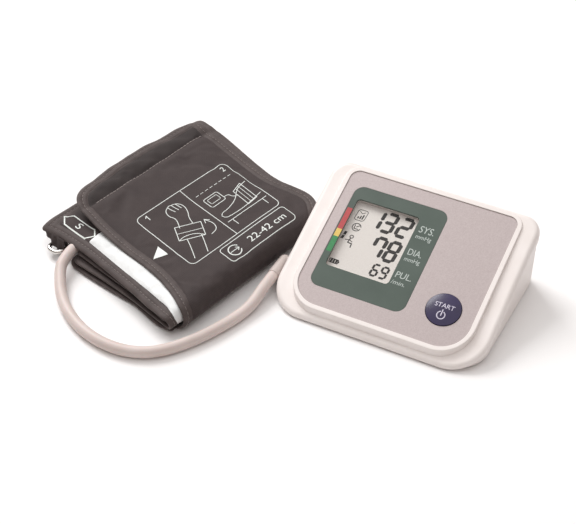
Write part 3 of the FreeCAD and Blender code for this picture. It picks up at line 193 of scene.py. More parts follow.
room = bpy.data.worlds.new("room")
room.use_nodes = True
background = room.node_tree.nodes["Background"]
background.inputs["Color"].default_value = linear("#fff6f1")
background.inputs["Strength"].default_value = 0.34
scene.world = room


def soft_box(name, place, aim, width, watts):
    """A square area light at place, turned to face aim."""
    lamp = bpy.data.lights.new(name, "AREA")
    lamp.shape = "SQUARE"
    lamp.size = width
    lamp.energy = watts
    held = linked(name, lamp)
    held.location = place
    held.rotation_euler = (Vector(aim) - Vector(place)).to_track_quat("-Z", "Y").to_euler()


soft_box("overhead_box", (-0.3, 0.3, 3.2), (-0.3, 0.3, 0.0), 4.0, 55.0)
soft_box("key_box", (-2.51, 1.42, 2.84), (0.0, 0.0, 0.0), 2.0, 112.0)

table_top, shader = finish("painted_table", Base_Color=linear("#fbfafa"), Roughness=0.7)
place = add(table_top, "ShaderNodeTexCoord").outputs["Object"]
brush = add(table_top, "ShaderNodeTexNoise", {"Vector": place, "Scale": size_of(6.0), "Detail": 4.0})
add(table_top, "ShaderNodeBump", {
    "Height": brush.outputs["Fac"], "Strength": 0.03, "Distance": 0.2 * MM,
}, into=shader.inputs["Normal"])

TABLE_HALF = 6.0
sheet_mesh = bpy.data.meshes.new("table")
corners = [(x * TABLE_HALF, y * TABLE_HALF, 0.0) for x, y in ((-1, -1), (1, -1), (1, 1), (-1, 1))]
sheet_mesh.from_pydata(corners, [], [(0, 1, 2, 3)])
sheet_mesh.materials.append(table_top)
table = linked("table", sheet_mesh)

# %% [markdown]
# The air hose is one soft PVC tube, 7.4 mm thick and 230 mm long. It leaves the port on the
# cuff's bladder, swings round on the table in one loose loop, and rises a little into the
# elbow plug in the monitor's left side. A tube like this never bends sharply, so its line is
# a NURBS curve through loose control points with a round section. A swept mesh would need
# its own smoothing to look as supple.

# %% Air hose
HOSE_POINTS = (
    (-202.2, -66.5, 9.6), (-202.5, -80.0, 9.6), (-196.8, -91.8, 6.6), (-184.9, -107.4, 3.85),
    (-166.4, -121.0, 3.85), (-146.2, -128.4, 3.85), (-125.2, -128.8, 3.85), (-108.0, -121.0, 3.85),
    (-94.4, -103.8, 3.85), (-83.8, -82.0, 3.85), (-76.8, -60.5, 3.85), (-75.9, -43.0, 8.3),
    (-75.9, -30.0, 8.3),
)
HOSE_RADIUS = 3.7

hose_line = bpy.data.curves.new("air_line", "CURVE")
hose_line.dimensions = "3D"
run = hose_line.splines.new("NURBS")
run.points.add(len(HOSE_POINTS) - 1)
for control, spot in zip(run.points, HOSE_POINTS):
    control.co = ((Vector(spot) + MONITOR_AT) * MM).to_4d()
    control.radius = HOSE_RADIUS * MM
run.order_u = 3
run.use_endpoint_u = True
run.resolution_u = 16
# The thickness sits in the points' own radius, so that the curve's box is no wider than the tube.
hose_line.bevel_depth = 1.0
hose_line.bevel_resolution = 8
hose = linked("air_line", hose_line)
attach(hose, "cuff")
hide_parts("air_hose")
print("hose control points:", len(run.points))

# %% [markdown]
# The monitor's two shells and its battery cover are moulded ABS. ABS comes out of a
# spark-eroded mould with an even fine grain, so the white looks soft and never mirror-like.
# Grain could be displaced geometry, but it is a hundredth of a millimetre deep, so a bump
# does. A Bevel node rounds the light along each edge by a quarter of a millimetre, as a
# mould's edges are, without touching the CAD mesh.

# %% Moulded plastics
# Where the melt flowed, gloss and tone drift over patches of about this width, in mm.
FLOW_PATCH = 18.0


def moulded(name, low, high, grain_mm, depth, gloss, edge_mm=0.25, flake_mm=None, **sockets):
    """Mould grain, a slight drift of tone and gloss, and edges that catch light as if rounded."""
    material, shader = finish(name, **sockets)
    place = add(material, "ShaderNodeTexCoord").outputs["Object"]
    drift = add(material, "ShaderNodeTexNoise", {
        "Vector": place, "Scale": size_of(FLOW_PATCH), "Detail": 3.0,
    })
    add(material, "ShaderNodeMapRange", {
        "Value": drift.outputs["Fac"], "To Min": gloss[0], "To Max": gloss[1],
    }, into=shader.inputs["Roughness"])
    speck = add(material, "ShaderNodeTexNoise", {"Vector": place, "Scale": size_of(grain_mm), "Detail": 2.0})
    round_edge = add(material, "ShaderNodeBevel", {"Radius": edge_mm * MM}, samples=4)
    add(material, "ShaderNodeBump", {
        "Height": speck.outputs["Fac"], "Normal": round_edge.outputs["Normal"],
        "Strength": depth, "Distance": 0.05 * MM,
    }, into=shader.inputs["Normal"])
    if flake_mm:
        flakes = add(material, "ShaderNodeTexVoronoi", {"Vector": place, "Scale": size_of(flake_mm)})
        two_tones(material, shader, flakes.outputs["Color"], low, high, 0.1, 0.9)
    else:
        two_tones(material, shader, drift.outputs["Fac"], low, high)
    return material


def dress(material, *names):
    """Gives the named CAD nodes a material."""
    for name in names:
        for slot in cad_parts[name].material_slots:
            slot.material = material
    print(material.name, "on", ", ".join(names))


# The real grain is about 0.1 mm; 0.5 mm is the finest that this distance shows.
white_abs = moulded("moulded_white_abs", "#f2eae6", "#f7f0ed", 0.5, 0.25, (0.36, 0.46), 0.3, IOR=1.53)
dress(white_abs, "upper_case", "lower_case", "battery_cover")

# %% [markdown]
# The grey plate in the middle is ABS with a satin silver-grey lacquer. Lacquer holds fine
# metal flakes, which give a plastic a faint sparkle and a softer highlight than bare ABS.
# The green surround of the display is a polycarbonate film printed on its back, so its
# colour lies under a clear gloss. Flakes are cells of a Voronoi pattern, and the gloss is the
# shader's coat.

# %% Lacquered plate and printed film
silver_lacquer = moulded(
    "silver_grey_lacquer", "#b1a4a3", "#bcb0af", 0.6, 0.15, (0.42, 0.50), flake_mm=0.55,
    IOR=1.5, Metallic=0.15,
)
dress(silver_lacquer, "face_panel")

green_film = moulded(
    "printed_polycarbonate_film", "#4b5850", "#525f57", 0.8, 0.08, (0.36, 0.44),
    IOR=1.58, Specular_IOR_Level=0.25,
)
dress(green_film, "display_bezel")

# %% [markdown]
# The start button is a domed cap of glossy ABS, dyed a deep blue-violet all the way
# through. A dome shows one soft highlight that slides off towards its edge.

# %% Dyed button cap
violet_abs = moulded(
    "glossy_violet_abs", "#20133c", "#2a1c4e", 0.7, 0.06, (0.24, 0.32), 0.3,
    IOR=1.53, Specular_IOR_Level=0.35, Coat_Weight=0.15, Coat_Roughness=0.12,
)
dress(violet_abs, "start_button")

# %% [markdown]
# The display is a sandwich: a clear acrylic window, a gap, and the liquid crystal glass on
# its pale reflector. Full refraction would cost noise and darken what lies below, so the
# window is mostly transparent, with a reflection on its outer face that Fresnel makes
# stronger at a slant, which is all that a thin flat pane shows. The glass below gets the
# silky grain of its polariser. One fine noise steers both its tone and a slight relief, and
# inks and threads are made in the same way further on.

# %% Window and display glass
clear_window = bpy.data.materials.new("clear_acrylic_window")
clear_window.use_nodes = True
clear_window.node_tree.nodes.clear()
slant = add(clear_window, "ShaderNodeFresnel", {"IOR": 1.49})
side = add(clear_window, "ShaderNodeNewGeometry").outputs["Backfacing"]
outer = add(clear_window, "ShaderNodeMath", {0: 1.0, 1: side}, operation="SUBTRACT")
outer_slant = add(clear_window, "ShaderNodeMath", {
    0: slant.outputs["Fac"], 1: outer.outputs["Value"],
}, operation="MULTIPLY")
place = add(clear_window, "ShaderNodeTexCoord").outputs["Object"]
smear = add(clear_window, "ShaderNodeTexNoise", {"Vector": place, "Scale": size_of(9.0), "Detail": 3.0})
gloss_range = add(clear_window, "ShaderNodeMapRange", {
    "Value": smear.outputs["Fac"], "To Min": 0.03, "To Max": 0.08,
})
shine = add(clear_window, "ShaderNodeBsdfGlossy", {
    "Color": linear("#a8a8a8"), "Roughness": gloss_range.outputs["Result"],
})
through = add(clear_window, "ShaderNodeBsdfTransparent", {"Color": linear("#fbfbfa")})
pane = add(clear_window, "ShaderNodeMixShader", {
    0: outer_slant.outputs["Value"], 1: through.outputs["BSDF"], 2: shine.outputs["BSDF"],
})
add(clear_window, "ShaderNodeOutputMaterial", {"Surface": pane.outputs["Shader"]})
dress(clear_window, "display_lens")


def mottled(name, low, high, grain_mm, detail, strength, depth_mm, **sockets):
    """A finish whose tone and slight relief both follow one fine noise."""
    material, shader = finish(name, **sockets)
    place = add(material, "ShaderNodeTexCoord").outputs["Object"]
    grain = add(material, "ShaderNodeTexNoise", {
        "Vector": place, "Scale": size_of(grain_mm), "Detail": detail,
    })
    two_tones(material, shader, grain.outputs["Fac"], low, high)
    add(material, "ShaderNodeBump", {
        "Height": grain.outputs["Fac"], "Strength": strength, "Distance": depth_mm * MM,
    }, into=shader.inputs["Normal"])
    return material


polariser = mottled(
    "reflective_polariser", "#efe8e6", "#f6f1ef", 0.6, 2.0, 0.05, 0.05, IOR=1.5, Roughness=0.38,
)
dress(polariser, "lcd_glass")

# %% [markdown]
# Everything behind the face is seen only where the case is opened, but it is dressed too:
# natural grey ABS holders, a green fibreglass board with its weave showing through the
# solder mask, a striped rubber connector, nickel-plated springs and screws, a zinc-plated
# motor can, milky silicone air tubes, and plain two-colour jackets on the cells.

# %% Plastics, rubbers and tubes inside
grey_abs = moulded("natural_grey_abs", "#8f9191", "#a2a4a3", 0.6, 0.3, (0.45, 0.58), IOR=1.53)
dress(grey_abs, "lcd_holder", "tact_switch", "buzzer", "pressure_sensor")
dress(grey_abs, "pump_head", "air_manifold", "dc_jack")
black_acetal = moulded("black_acetal", "#232222", "#302f2f", 0.5, 0.3, (0.38, 0.5), IOR=1.48)
dress(black_acetal, "air_socket")
black_rubber = moulded("moulded_black_rubber", "#2e2d2d", "#3a3938", 0.7, 0.6, (0.7, 0.85), 0.2, IOR=1.52)
dress(black_rubber, "rubber_feet")
silicone = moulded(
    "milky_silicone", "#d3d0ca", "#e2dfd9", 0.9, 0.2, (0.4, 0.5),
    IOR=1.41, Subsurface_Weight=0.2, Subsurface_Scale=0.001,
)
dress(silicone, "pump_tube", "sensor_tube")

# The real conductive stripes are 0.05 mm apart; they are drawn 5 mm apart to show.
zebra_rubber, shader = finish("striped_connector_rubber", IOR=1.42, Roughness=0.7)
place = add(zebra_rubber, "ShaderNodeTexCoord").outputs["Object"]
stripes = add(zebra_rubber, "ShaderNodeTexWave", {"Vector": place, "Scale": ripple(5.03)})
two_tones(zebra_rubber, shader, stripes.outputs["Fac"], "#1b1b1c", "#8b8580", 0.45, 0.55)
dress(zebra_rubber, "lcd_connector", "pump_cushion")

# %% Board, metals and cells inside
board_mask, shader = finish(
    "solder_masked_fibreglass", IOR=1.55, Coat_Weight=0.3, Coat_Roughness=0.2, Roughness=0.4,
)
place = add(board_mask, "ShaderNodeTexCoord").outputs["Object"]
add(board_mask, "ShaderNodeTexBrick", {
    "Vector": place, "Scale": size_of(9.0), "Mortar Size": 0.035, "Brick Width": 0.9, "Row Height": 0.35,
    "Color1": linear("#1d5a35"), "Color2": linear("#20603a"), "Mortar": linear("#3c8a57"),
}, into=shader.inputs["Base Color"])
weave = add(board_mask, "ShaderNodeTexChecker", {"Vector": place, "Scale": size_of(1.2)})
add(board_mask, "ShaderNodeBump", {
    "Height": weave.outputs["Fac"], "Strength": 0.15, "Distance": 0.03 * MM,
}, into=shader.inputs["Normal"])
dress(board_mask, "circuit_board")


def plated(name, low, high, gloss, streak_mm):
    """A plated steel: fine drawn streaks in both tone and gloss."""
    material, shader = finish(name, Metallic=1.0)
    place = add(material, "ShaderNodeTexCoord").outputs["Object"]
    drawn = add(material, "ShaderNodeMapping", {"Vector": place, "Scale": (0.15, 1.0, 1.0)})
    streaks = add(material, "ShaderNodeTexNoise", {
        "Vector": drawn.outputs["Vector"], "Scale": size_of(streak_mm), "Detail": 4.0,
    })
    two_tones(material, shader, streaks.outputs["Fac"], low, high)
    add(material, "ShaderNodeMapRange", {
        "Value": streaks.outputs["Fac"], "To Min": gloss[0], "To Max": gloss[1],
    }, into=shader.inputs["Roughness"])
    round_edge = add(material, "ShaderNodeBevel", {"Radius": 0.15 * MM}, samples=4)
    add(material, "ShaderNodeBump", {
        "Height": streaks.outputs["Fac"], "Normal": round_edge.outputs["Normal"],
        "Strength": 0.15, "Distance": 0.03 * MM,
    }, into=shader.inputs["Normal"])
    return material


nickel = plated("nickel_plated_steel", "#b9b5ae", "#d4d0ca", (0.18, 0.32), 0.5)
dress(nickel, "board_screws", "case_screws", "battery_springs", "battery_contacts")
zinc = plated("zinc_plated_can", "#9fa0a2", "#c3c3c4", (0.3, 0.45), 0.9)
dress(zinc, "pump_motor", "exhaust_valve")
bright_nickel = plated("polished_nickel_wire", "#cfccc8", "#e6e3df", (0.12, 0.22), 0.6)
dress(bright_nickel, "cuff_ring")

# The jacket changes colour a little way in from the cell's end, once in each cell's length.
CELL_LONG = 50.5 * MM
cell_jacket, shader = finish(
    "printed_cell_jacket", IOR=1.5, Coat_Weight=0.4, Coat_Roughness=0.15, Roughness=0.35,
)
place = add(cell_jacket, "ShaderNodeTexCoord").outputs["Object"]
where = add(cell_jacket, "ShaderNodeSeparateXYZ", {"Vector": place})
bands = add(cell_jacket, "ShaderNodeMath", {0: where.outputs["X"], 1: CELL_LONG}, operation="PINGPONG")
two_tones(cell_jacket, shader, bands.outputs["Value"], "#30343a", "#b98a3e", 0.014, 0.0145)
scuffs = add(cell_jacket, "ShaderNodeTexNoise", {"Vector": place, "Scale": size_of(3.0), "Detail": 5.0})
add(cell_jacket, "ShaderNodeBump", {
    "Height": scuffs.outputs["Fac"], "Strength": 0.1, "Distance": 0.04 * MM,
}, into=shader.inputs["Normal"])
dress(cell_jacket, "battery_cells")

# %% [markdown]
# The hose is extruded soft PVC. Extrusion leaves it smooth, with very faint streaks along
# its length, and soft PVC is a little cloudy, so light sinks in slightly and its shadow side
# stays warm. The elbow plug and the port are moulded in a harder grade of the same grey.

# %% Hose, plug and port
soft_pvc = moulded(
    "extruded_soft_pvc", "#d3c4be", "#ddcfca", 1.2, 0.12, (0.42, 0.54), 0.1,
    IOR=1.52, Subsurface_Weight=0.08, Subsurface_Scale=0.0015,
)
hose_line.materials.append(soft_pvc)
grey_pvc = moulded("moulded_grey_pvc", "#c6b8b2", "#d0c3be", 0.6, 0.3, (0.38, 0.48), 0.3, IOR=1.53)
dress(grey_pvc, "air_plug", "hose_port")

# %% [markdown]
# The display's own artwork has three homes. The labels and the colour bar are printed under
# the green film; the digits and symbols are electrodes of the liquid crystal, four
# millimetres down; and the button's word and sign are printed on its dome. Flat artwork is
# drawn as outlines in plain numbers, filled, and set in its frame. Real ink is a few
# hundredths of a millimetre thick, so each print stands off its surface by about that.

# %% Printing inks
def ink(name, colour, other, gloss=0.45):
    """Printing ink: one colour with a slight unevenness, and a satin face."""
    return mottled(name, colour, other, 1.5, 4.0, 0.05, 0.03, IOR=1.5, Roughness=gloss)


white_ink = ink("white_ink", "#dfe6e1", "#eef2ee")
red_ink = ink("red_ink", "#b03034", "#ba3d3f")
yellow_ink = ink("yellow_ink", "#dcb84e", "#e6c76a")
green_ink = ink("green_ink", "#187a3e", "#1f8a49")
crystal = ink("driven_liquid_crystal", "#120b0c", "#1b1213", 0.6)
silver_ink = ink("silver_ink", "#b6c0bb", "#c5cec9")
lilac_ink = ink("lilac_ink", "#d6d0e2", "#e4dff0")
print("ink:", white_ink.name, lilac_ink.name)

# %% Filled outlines as one flat piece
def shapes(name, outlines, frame_matrix, height, material, body="monitor"):
    """Flat filled outlines, in mm in a frame, at one height over its plane."""
    artwork = bmesh.new()
    for outline in outlines:
        artwork.faces.new([artwork.verts.new(set_in(frame_matrix, (x, y, height))) for x, y in outline])
    bmesh.ops.recalc_face_normals(artwork, faces=artwork.faces)
    upward = frame_matrix.to_3x3().col[2]
    for face in artwork.faces:
        if face.normal.dot(upward) < 0:
            face.normal_flip()
    mesh = bpy.data.meshes.new(name)
    artwork.to_mesh(mesh)
    artwork.free()
    mesh.materials.append(material)
    made = linked(name, mesh)
    if body:
        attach(made, body)
    return made


print("flat artwork faces along:", tuple(round(v, 2) for v in face_frame.to_3x3().col[2]))

# %% Strokes, bars and letters as outlines
def heading(start, end):
    """How far it is from one flat point to another, and the way there, one millimetre long."""
    long = math.dist(start, end)
    return long, (end[0] - start[0]) / long, (end[1] - start[1]) / long


def bar_between(start, end, width):
    """A straight stroke with blunt pointed ends, as display segments have."""
    (ax, ay), (bx, by) = start, end
    _, ux, uy = heading(start, end)
    half = width / 2
    tip = half * 0.7
    return [
        (ax, ay), (ax + ux * tip - uy * half, ay + uy * tip + ux * half),
        (bx - ux * tip - uy * half, by - uy * tip + ux * half), (bx, by),
        (bx - ux * tip + uy * half, by - uy * tip - ux * half),
        (ax + ux * tip + uy * half, ay + uy * tip - ux * half),
    ]


def block(left, foot, width, top, slant=0.0):
    """A bar with a level foot and top, whose top is moved to the right by the slant."""
    return [(left, foot), (left + width, foot), (left + width + slant, top), (left + slant, top)]


def letters(name, words, width, height, base_left, lean=0.0):
    """A word in Blender's own plain font, as triangles fitted to a box."""
    text = bpy.data.curves.new(name, "FONT")
    text.body = words
    text.resolution_u = 4
    written = linked(name, text)
    bpy.context.view_layer.update()
    flat = written.evaluated_get(bpy.context.evaluated_depsgraph_get()).to_mesh()
    xs = [v.co.x for v in flat.vertices]
    first = min(xs)
    across = width / (max(xs) - first)
    up = height / max(v.co.y for v in flat.vertices)
    spots = [
        (base_left[0] + (v.co.x - first) * across + v.co.y * up * lean, base_left[1] + v.co.y * up)
        for v in flat.vertices
    ]
    outlines = [[spots[i] for i in polygon.vertices] for polygon in flat.polygons]
    bpy.data.objects.remove(written)
    bpy.data.curves.remove(text)
    return outlines


print("one stroke:", bar_between((0.0, 0.0), (10.0, 0.0), 2.0))

# %% [markdown]
# The labels are set in a light, narrow sans. Beside the window a bar in three colours shows
# at a glance how high the reading is: red on top, yellow, and green at the foot.

# %% Labels and the colour bar on the green film
LABELS = (
    ("SYS.", (0.6, 20.3), 10.0, 4.9, 0.12), ("mmHg", (0.5, 15.6), 10.4, 2.9, 0.05),
    ("DIA.", (0.5, 2.9), 9.2, 4.5, 0.0), ("mmHg", (0.2, -1.8), 10.4, 2.9, 0.05),
    ("PUL.", (-0.3, -14.5), 10.6, 4.3, 0.08), ("/min.", (-1.1, -19.4), 9.2, 2.9, 0.05),
)
words = []
for body, base_left, width, height, lean in LABELS:
    words += letters("label", body, width, height, base_left, lean)
INK_THICK = 0.03
shapes("display_labels", words, face_frame, INK_THICK, silver_ink)

BAR_LEFT, BAR_WIDE = -49.0, 3.5
for colour, top, foot in ((red_ink, 22.0, 5.6), (yellow_ink, 5.6, -0.2), (green_ink, -0.2, -11.8)):
    part = block(BAR_LEFT, foot, BAR_WIDE, top)
    shapes("level_bar_" + colour.name.split("_")[0], [part], face_frame, INK_THICK, colour)
print("labels:", len(LABELS))

# %% [markdown]
# Each digit of a liquid crystal display is seven segments with pointed ends and hairline
# gaps, leaning a few degrees. The table names the segments that are lit for each digit, in
# the order top, upper right, lower right, foot, lower left, upper left, middle. The reading
# is 132 over 78 with a pulse of 69.

# %% Seven-segment digits
LIT = {
    "1": "bc", "2": "abged", "3": "abgcd", "6": "afgedc", "7": "abcf", "8": "abcdefg", "9": "abcdfg",
}
LARGE_STROKE, SMALL_STROKE = 2.45, 1.45
GAP = 0.2
LEAN = 0.09


def leaning(outlines, foot, lean=LEAN):
    """Outlines that lean to the right, more the higher they reach over the foot."""
    return [[(x + (y - foot) * lean, y) for x, y in outline] for outline in outlines]


def digit(sign, left, foot, width, height, stroke):
    """One seven-segment digit as outlines; left and foot are its corner before leaning."""
    half = stroke / 2
    x0, x1 = left + half, left + width - half
    y0, y2 = foot + half, foot + height - half
    y1 = foot + height / 2
    ends = {
        "a": ((x0, y2), (x1, y2)), "b": ((x1, y2), (x1, y1)), "c": ((x1, y1), (x1, y0)),
        "d": ((x0, y0), (x1, y0)), "e": ((x0, y1), (x0, y0)), "f": ((x0, y2), (x0, y1)),
        "g": ((x0, y1), (x1, y1)),
    }
    outlines = []
    for letter in LIT[sign]:
        (ax, ay), (bx, by) = ends[letter]
        _, ux, uy = heading((ax, ay), (bx, by))
        dx, dy = ux * GAP, uy * GAP
        outlines.append(bar_between((ax + dx, ay + dy), (bx - dx, by - dy), stroke))
    return leaning(outlines, foot)


READING = (
    ("1", -34.2, 13.9, 9.0, 16.0, LARGE_STROKE), ("3", -25.4, 13.8, 9.1, 16.0, LARGE_STROKE),
    ("2", -15.0, 13.8, 9.2, 16.0, LARGE_STROKE),
    ("7", -24.9, -5.3, 8.8, 16.6, LARGE_STROKE), ("8", -15.3, -5.3, 8.8, 16.6, LARGE_STROKE),
    ("6", -18.1, -17.5, 5.4, 9.6, SMALL_STROKE), ("9", -12.0, -17.5, 5.4, 9.6, SMALL_STROKE),
)
lit = [outline for row in READING for outline in digit(*row)]
print("digits:", len(READING), "with", len(lit), "segments lit")

# %% [markdown]
# To the left of the digits stand small symbols of the display's own: a framed little bar
# chart for the average, a round one for the memory, a seated figure for the pulse check,
# two blocks that point at the colour bar, and the battery.

# %% Display symbols
def stroke_line(points, width, closed=False):
    """A drawn line as one filled quad per straight run, with square overlaps at its corners."""
    outlines = []
    run = list(points) + ([points[0]] if closed else [])
    for (ax, ay), (bx, by) in zip(run, run[1:]):
        _, ux, uy = heading((ax, ay), (bx, by))
        ux, uy = ux * width / 2, uy * width / 2
        outlines.append([
            (ax - ux - uy, ay - uy + ux), (bx + ux - uy, by + uy + ux),
            (bx + ux + uy, by + uy - ux), (ax - ux + uy, ay - uy - ux),
        ])
    return outlines


def circle(cx, cy, radius, start=0, end=360, steps=20):
    """Points of a circle or of part of one, from one angle in degrees to another."""
    angles = [math.radians(start + (end - start) * i / steps) for i in range(steps + 1)]
    return [(cx + radius * math.cos(angle), cy + radius * math.sin(angle)) for angle in angles]


def round_box(left, foot, right, top, radius, steps=5):
    """A rectangle with round corners, as points, anticlockwise."""
    return [
        spot
        for cx, cy, turn in (
            (right - radius, foot + radius, -90), (right - radius, top - radius, 0),
            (left + radius, top - radius, 90), (left + radius, foot + radius, 180),
        )
        for spot in circle(cx, cy, radius, turn, turn + 90, steps)
    ]

# %% The symbols' own lines and blocks
CHART_FOOT = 17.2
chart = stroke_line(round_box(-43.2, CHART_FOOT, -36.6, 25.2, 1.6), 0.42, closed=True)
for i, tall in enumerate((1.6, 2.6, 3.6)):
    chart.append(block(-41.6 + 1.45 * i, 18.4, 0.9, 18.4 + tall))
chart += stroke_line([(-41.9, 23.9), (-40.0, 22.6), (-38.2, 23.9)], 0.4)
symbols = leaning(chart, CHART_FOOT)

for width, points in (
    (0.55, circle(-38.9, 12.1, 2.8, 20, 340)), (0.55, [(-40.2, 13.4), (-40.2, 10.8), (-37.6, 10.8)]),
    (0.55, [(-38.9, 12.3), (-37.2, 13.9)]), (0.5, circle(-38.9, 4.6, 1.1)),
    (0.7, [(-39.1, 3.2), (-39.7, 0.0), (-36.9, -0.3), (-36.7, -2.8)]),
    (0.5, [(-42.0, 1.5), (-39.4, 2.1), (-37.2, 1.1)]),
):
    symbols += stroke_line(points, width)

symbols += [block(-45.1, 4.5, 1.8, 7.2, 0.4), block(-45.6, 1.4, 1.8, 4.0, 0.4)]
symbols += stroke_line(round_box(-45.2, -16.9, -39.4, -14.2, 0.4, 2), 0.6, closed=True)
symbols.append(block(-39.1, -16.1, 0.6, -15.0))
symbols += [block(left, -16.7, 1.35, -14.4, 0.25) for left in (-44.7, -43.0, -41.3)]

# The glass lies this far below the face, and its picture a trace above the glass.
GLASS_DROP, PICTURE_ABOVE = 3.9, 0.05
shapes("display_digits", lit, face_frame, PICTURE_ABOVE - GLASS_DROP, crystal)
shapes("display_symbols", symbols, face_frame, PICTURE_ABOVE - GLASS_DROP, crystal)
print("strokes and blocks of symbols:", len(symbols))

# %% [markdown]
# The word and the power sign on the button follow its dome. They are drawn flat above it,
# cut finely, and then each point is dropped straight down onto the dome, which is how pad
# printing works as well: a soft pad presses flat ink onto a rounded face.

# %% Print laid down on a shaped surface
def tree_of(objects):
    """One search tree of the final surfaces of some objects, in world space."""
    spots, faces = [], []
    for owner in objects:
        final = owner.evaluated_get(bpy.context.evaluated_depsgraph_get())
        mesh = final.to_mesh()
        start = len(spots)
        spots += [owner.matrix_world @ v.co for v in mesh.vertices]
        faces += [[start + i for i in polygon.vertices] for polygon in mesh.polygons]
        final.to_mesh_clear()
    return BVHTree.FromPolygons(spots, faces)


def lay_on(name, outlines, frame_matrix, surface, material, body, above, finest, start_height=40.0):
    """Cuts flat outlines finely and drops each point onto the surface below it."""
    artwork = shapes(name, outlines, frame_matrix, 0.0, material, body)
    down = -frame_matrix.to_3x3().col[2].normalized()
    cut = bmesh.new()
    cut.from_mesh(artwork.data)
    bmesh.ops.remove_doubles(cut, verts=cut.verts, dist=1e-6)
    for _ in range(6):
        long = [edge for edge in cut.edges if edge.calc_length() > finest * MM]
        if not long:
            break
        bmesh.ops.subdivide_edges(cut, edges=long, cuts=1)
        bmesh.ops.triangulate(cut, faces=cut.faces)
    missed = 0
    for vertex in cut.verts:
        hit = surface.ray_cast(vertex.co - down * start_height * MM, down)[0]
        if hit is None:
            missed += 1
        else:
            vertex.co = hit - down * above * MM
    cut.to_mesh(artwork.data)
    cut.free()
    print(name, "laid on with", len(artwork.data.vertices), "points,", missed, "off the edge")
    return artwork


word_and_sign = letters("start", "START", 12.6, 3.1, (30.9, -24.9))
word_and_sign += stroke_line(circle(37.2, -30.0, 2.5, 118, 422, 28), 0.62)
word_and_sign += stroke_line([(37.2, -26.4), (37.2, -30.2)], 0.62)
lay_on(
    "button_print", word_and_sign, face_frame, tree_of([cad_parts["start_button"]]), lilac_ink,
    "button", above=0.04, finest=1.0, start_height=10.0,
)

# %% [markdown]
# The cuff is one long padded band of nylon, folded into a flat packet. Seen from its side it
# is a stack: a bottom layer, a fold beside the monitor, and a top flap on the outside; two
# inner layers with a fold of their own, and the air bladder between them. Each layer can be
# drawn as a line in side view, given in length along the band, and a band pattern, as a
# tailor draws it, gives its two edges at each length. Real cloth is cut and folded in just
# that way, so the weave and the print can later follow the band by its own measures.

# %% Side view of the layers, by length along the band
FOLD = (6.2, 10.2)
OUTER_FOLD, INNER_FOLD = 8.6, 5.0


def bend(radius, start, end):
    """Points of a fold, five degrees apart, from one turn to the other: 0 is under it, 180 on top."""
    count = max(2, int((end - start) / 5.0))
    turns = [math.radians(start + (end - start) * i / count) for i in range(count + 1)]
    return [(FOLD[0] - radius * math.sin(t), FOLD[1] - radius * math.cos(t)) for t in turns]


class SideLine:
    """A layer's middle line in side view, asked by the length along it."""

    def __init__(self, points):
        self.points = points
        self.marks = [0.0]
        for before, after in zip(points, points[1:]):
            self.marks.append(self.marks[-1] + math.dist(before, after))
        self.length = self.marks[-1]

    def at(self, along):
        """The place at one length, straight on beyond either end."""
        last = len(self.points) - 2
        i = next((i for i in range(last + 1) if along <= self.marks[i + 1]), last)
        (ax, az), (bx, bz) = self.points[i], self.points[i + 1]
        share = (along - self.marks[i]) / (self.marks[i + 1] - self.marks[i])
        return ax + (bx - ax) * share, az + (bz - az) * share


def smooth_at(table, x):
    """A smooth curve through a table of points, held level outside it."""
    if x <= table[0][0]:
        return table[0][1]
    if x >= table[-1][0]:
        return table[-1][1]
    i = next(i for i in range(len(table) - 1) if x <= table[i + 1][0])
    (x0, y0), (x1, y1) = table[i], table[i + 1]
    before = table[i - 1] if i else table[i]
    after = table[i + 2] if i + 2 < len(table) else table[i + 1]
    rise0 = (y1 - before[1]) / (x1 - before[0]) * (x1 - x0)
    rise1 = (after[1] - y0) / (after[0] - x0) * (x1 - x0)
    t = (x - x0) / (x1 - x0)
    return (
        (2 * t**3 - 3 * t**2 + 1) * y0 + (t**3 - 2 * t**2 + t) * rise0
        + (3 * t**2 - 2 * t**3) * y1 + (t**3 - t**2) * rise1
    )


def rising(x, start, width):
    """0 up to start, 1 from that much further on, and a straight ramp between."""
    return min(1.0, max(0.0, (x - start) / width))


BOTTOM_Z, LOWER_Z, TONGUE_Z, FLAP_Z = 1.6, 5.2, 15.2, 18.8
FLAP_STARTS = 15.5
FLAP_END, TONGUE_END = 124.0, 128.4
flap_line = SideLine(bend(OUTER_FOLD, FLAP_STARTS, 180.0) + [(l, FLAP_Z) for l in (20.0, 80.0, FLAP_END)])
base_line = SideLine([(101.6, BOTTOM_Z), (50.0, BOTTOM_Z)] + bend(OUTER_FOLD, 0.0, 14.8))
inner_line = SideLine(
    [(97.6, LOWER_Z), (50.0, LOWER_Z)] + bend(INNER_FOLD, 0.0, 180.0)
    + [(60.0, TONGUE_Z), (TONGUE_END, TONGUE_Z)]
)
print("lengths along the band:", [round(line.length, 1) for line in (base_line, flap_line, inner_line)])

# %% [markdown]
# A padded layer has a flat bound edge, a sewn line, and then a soft middle. The cut pattern
# becomes a mesh by Delaunay triangulation: rows of points at set distances inside its
# outline, and an even grid in the middle. The rows give the binding, the ridge and the
# valley at the seam their section, which no plain grid could follow round the corners.
# Bottom and top faces share one outline, so the layer is a closed pad.

# %% Outline cut from the band pattern
# Half the pad's thickness at each distance in from the edge, all in mm.
PAD_SECTION = (
    (0.0, 0.35), (0.5, 0.85), (1.6, 1.15), (2.9, 1.1), (3.8, 0.6), (4.7, 1.0), (6.1, 1.05),
    (7.2, 0.5), (8.4, 1.1), (10.2, 1.42), (12.6, 1.6),
)
SEWN_AT = 3.8
BINDING = 7.2
# Points along an outline and along a seam stand this far apart.
STEP = 2.0


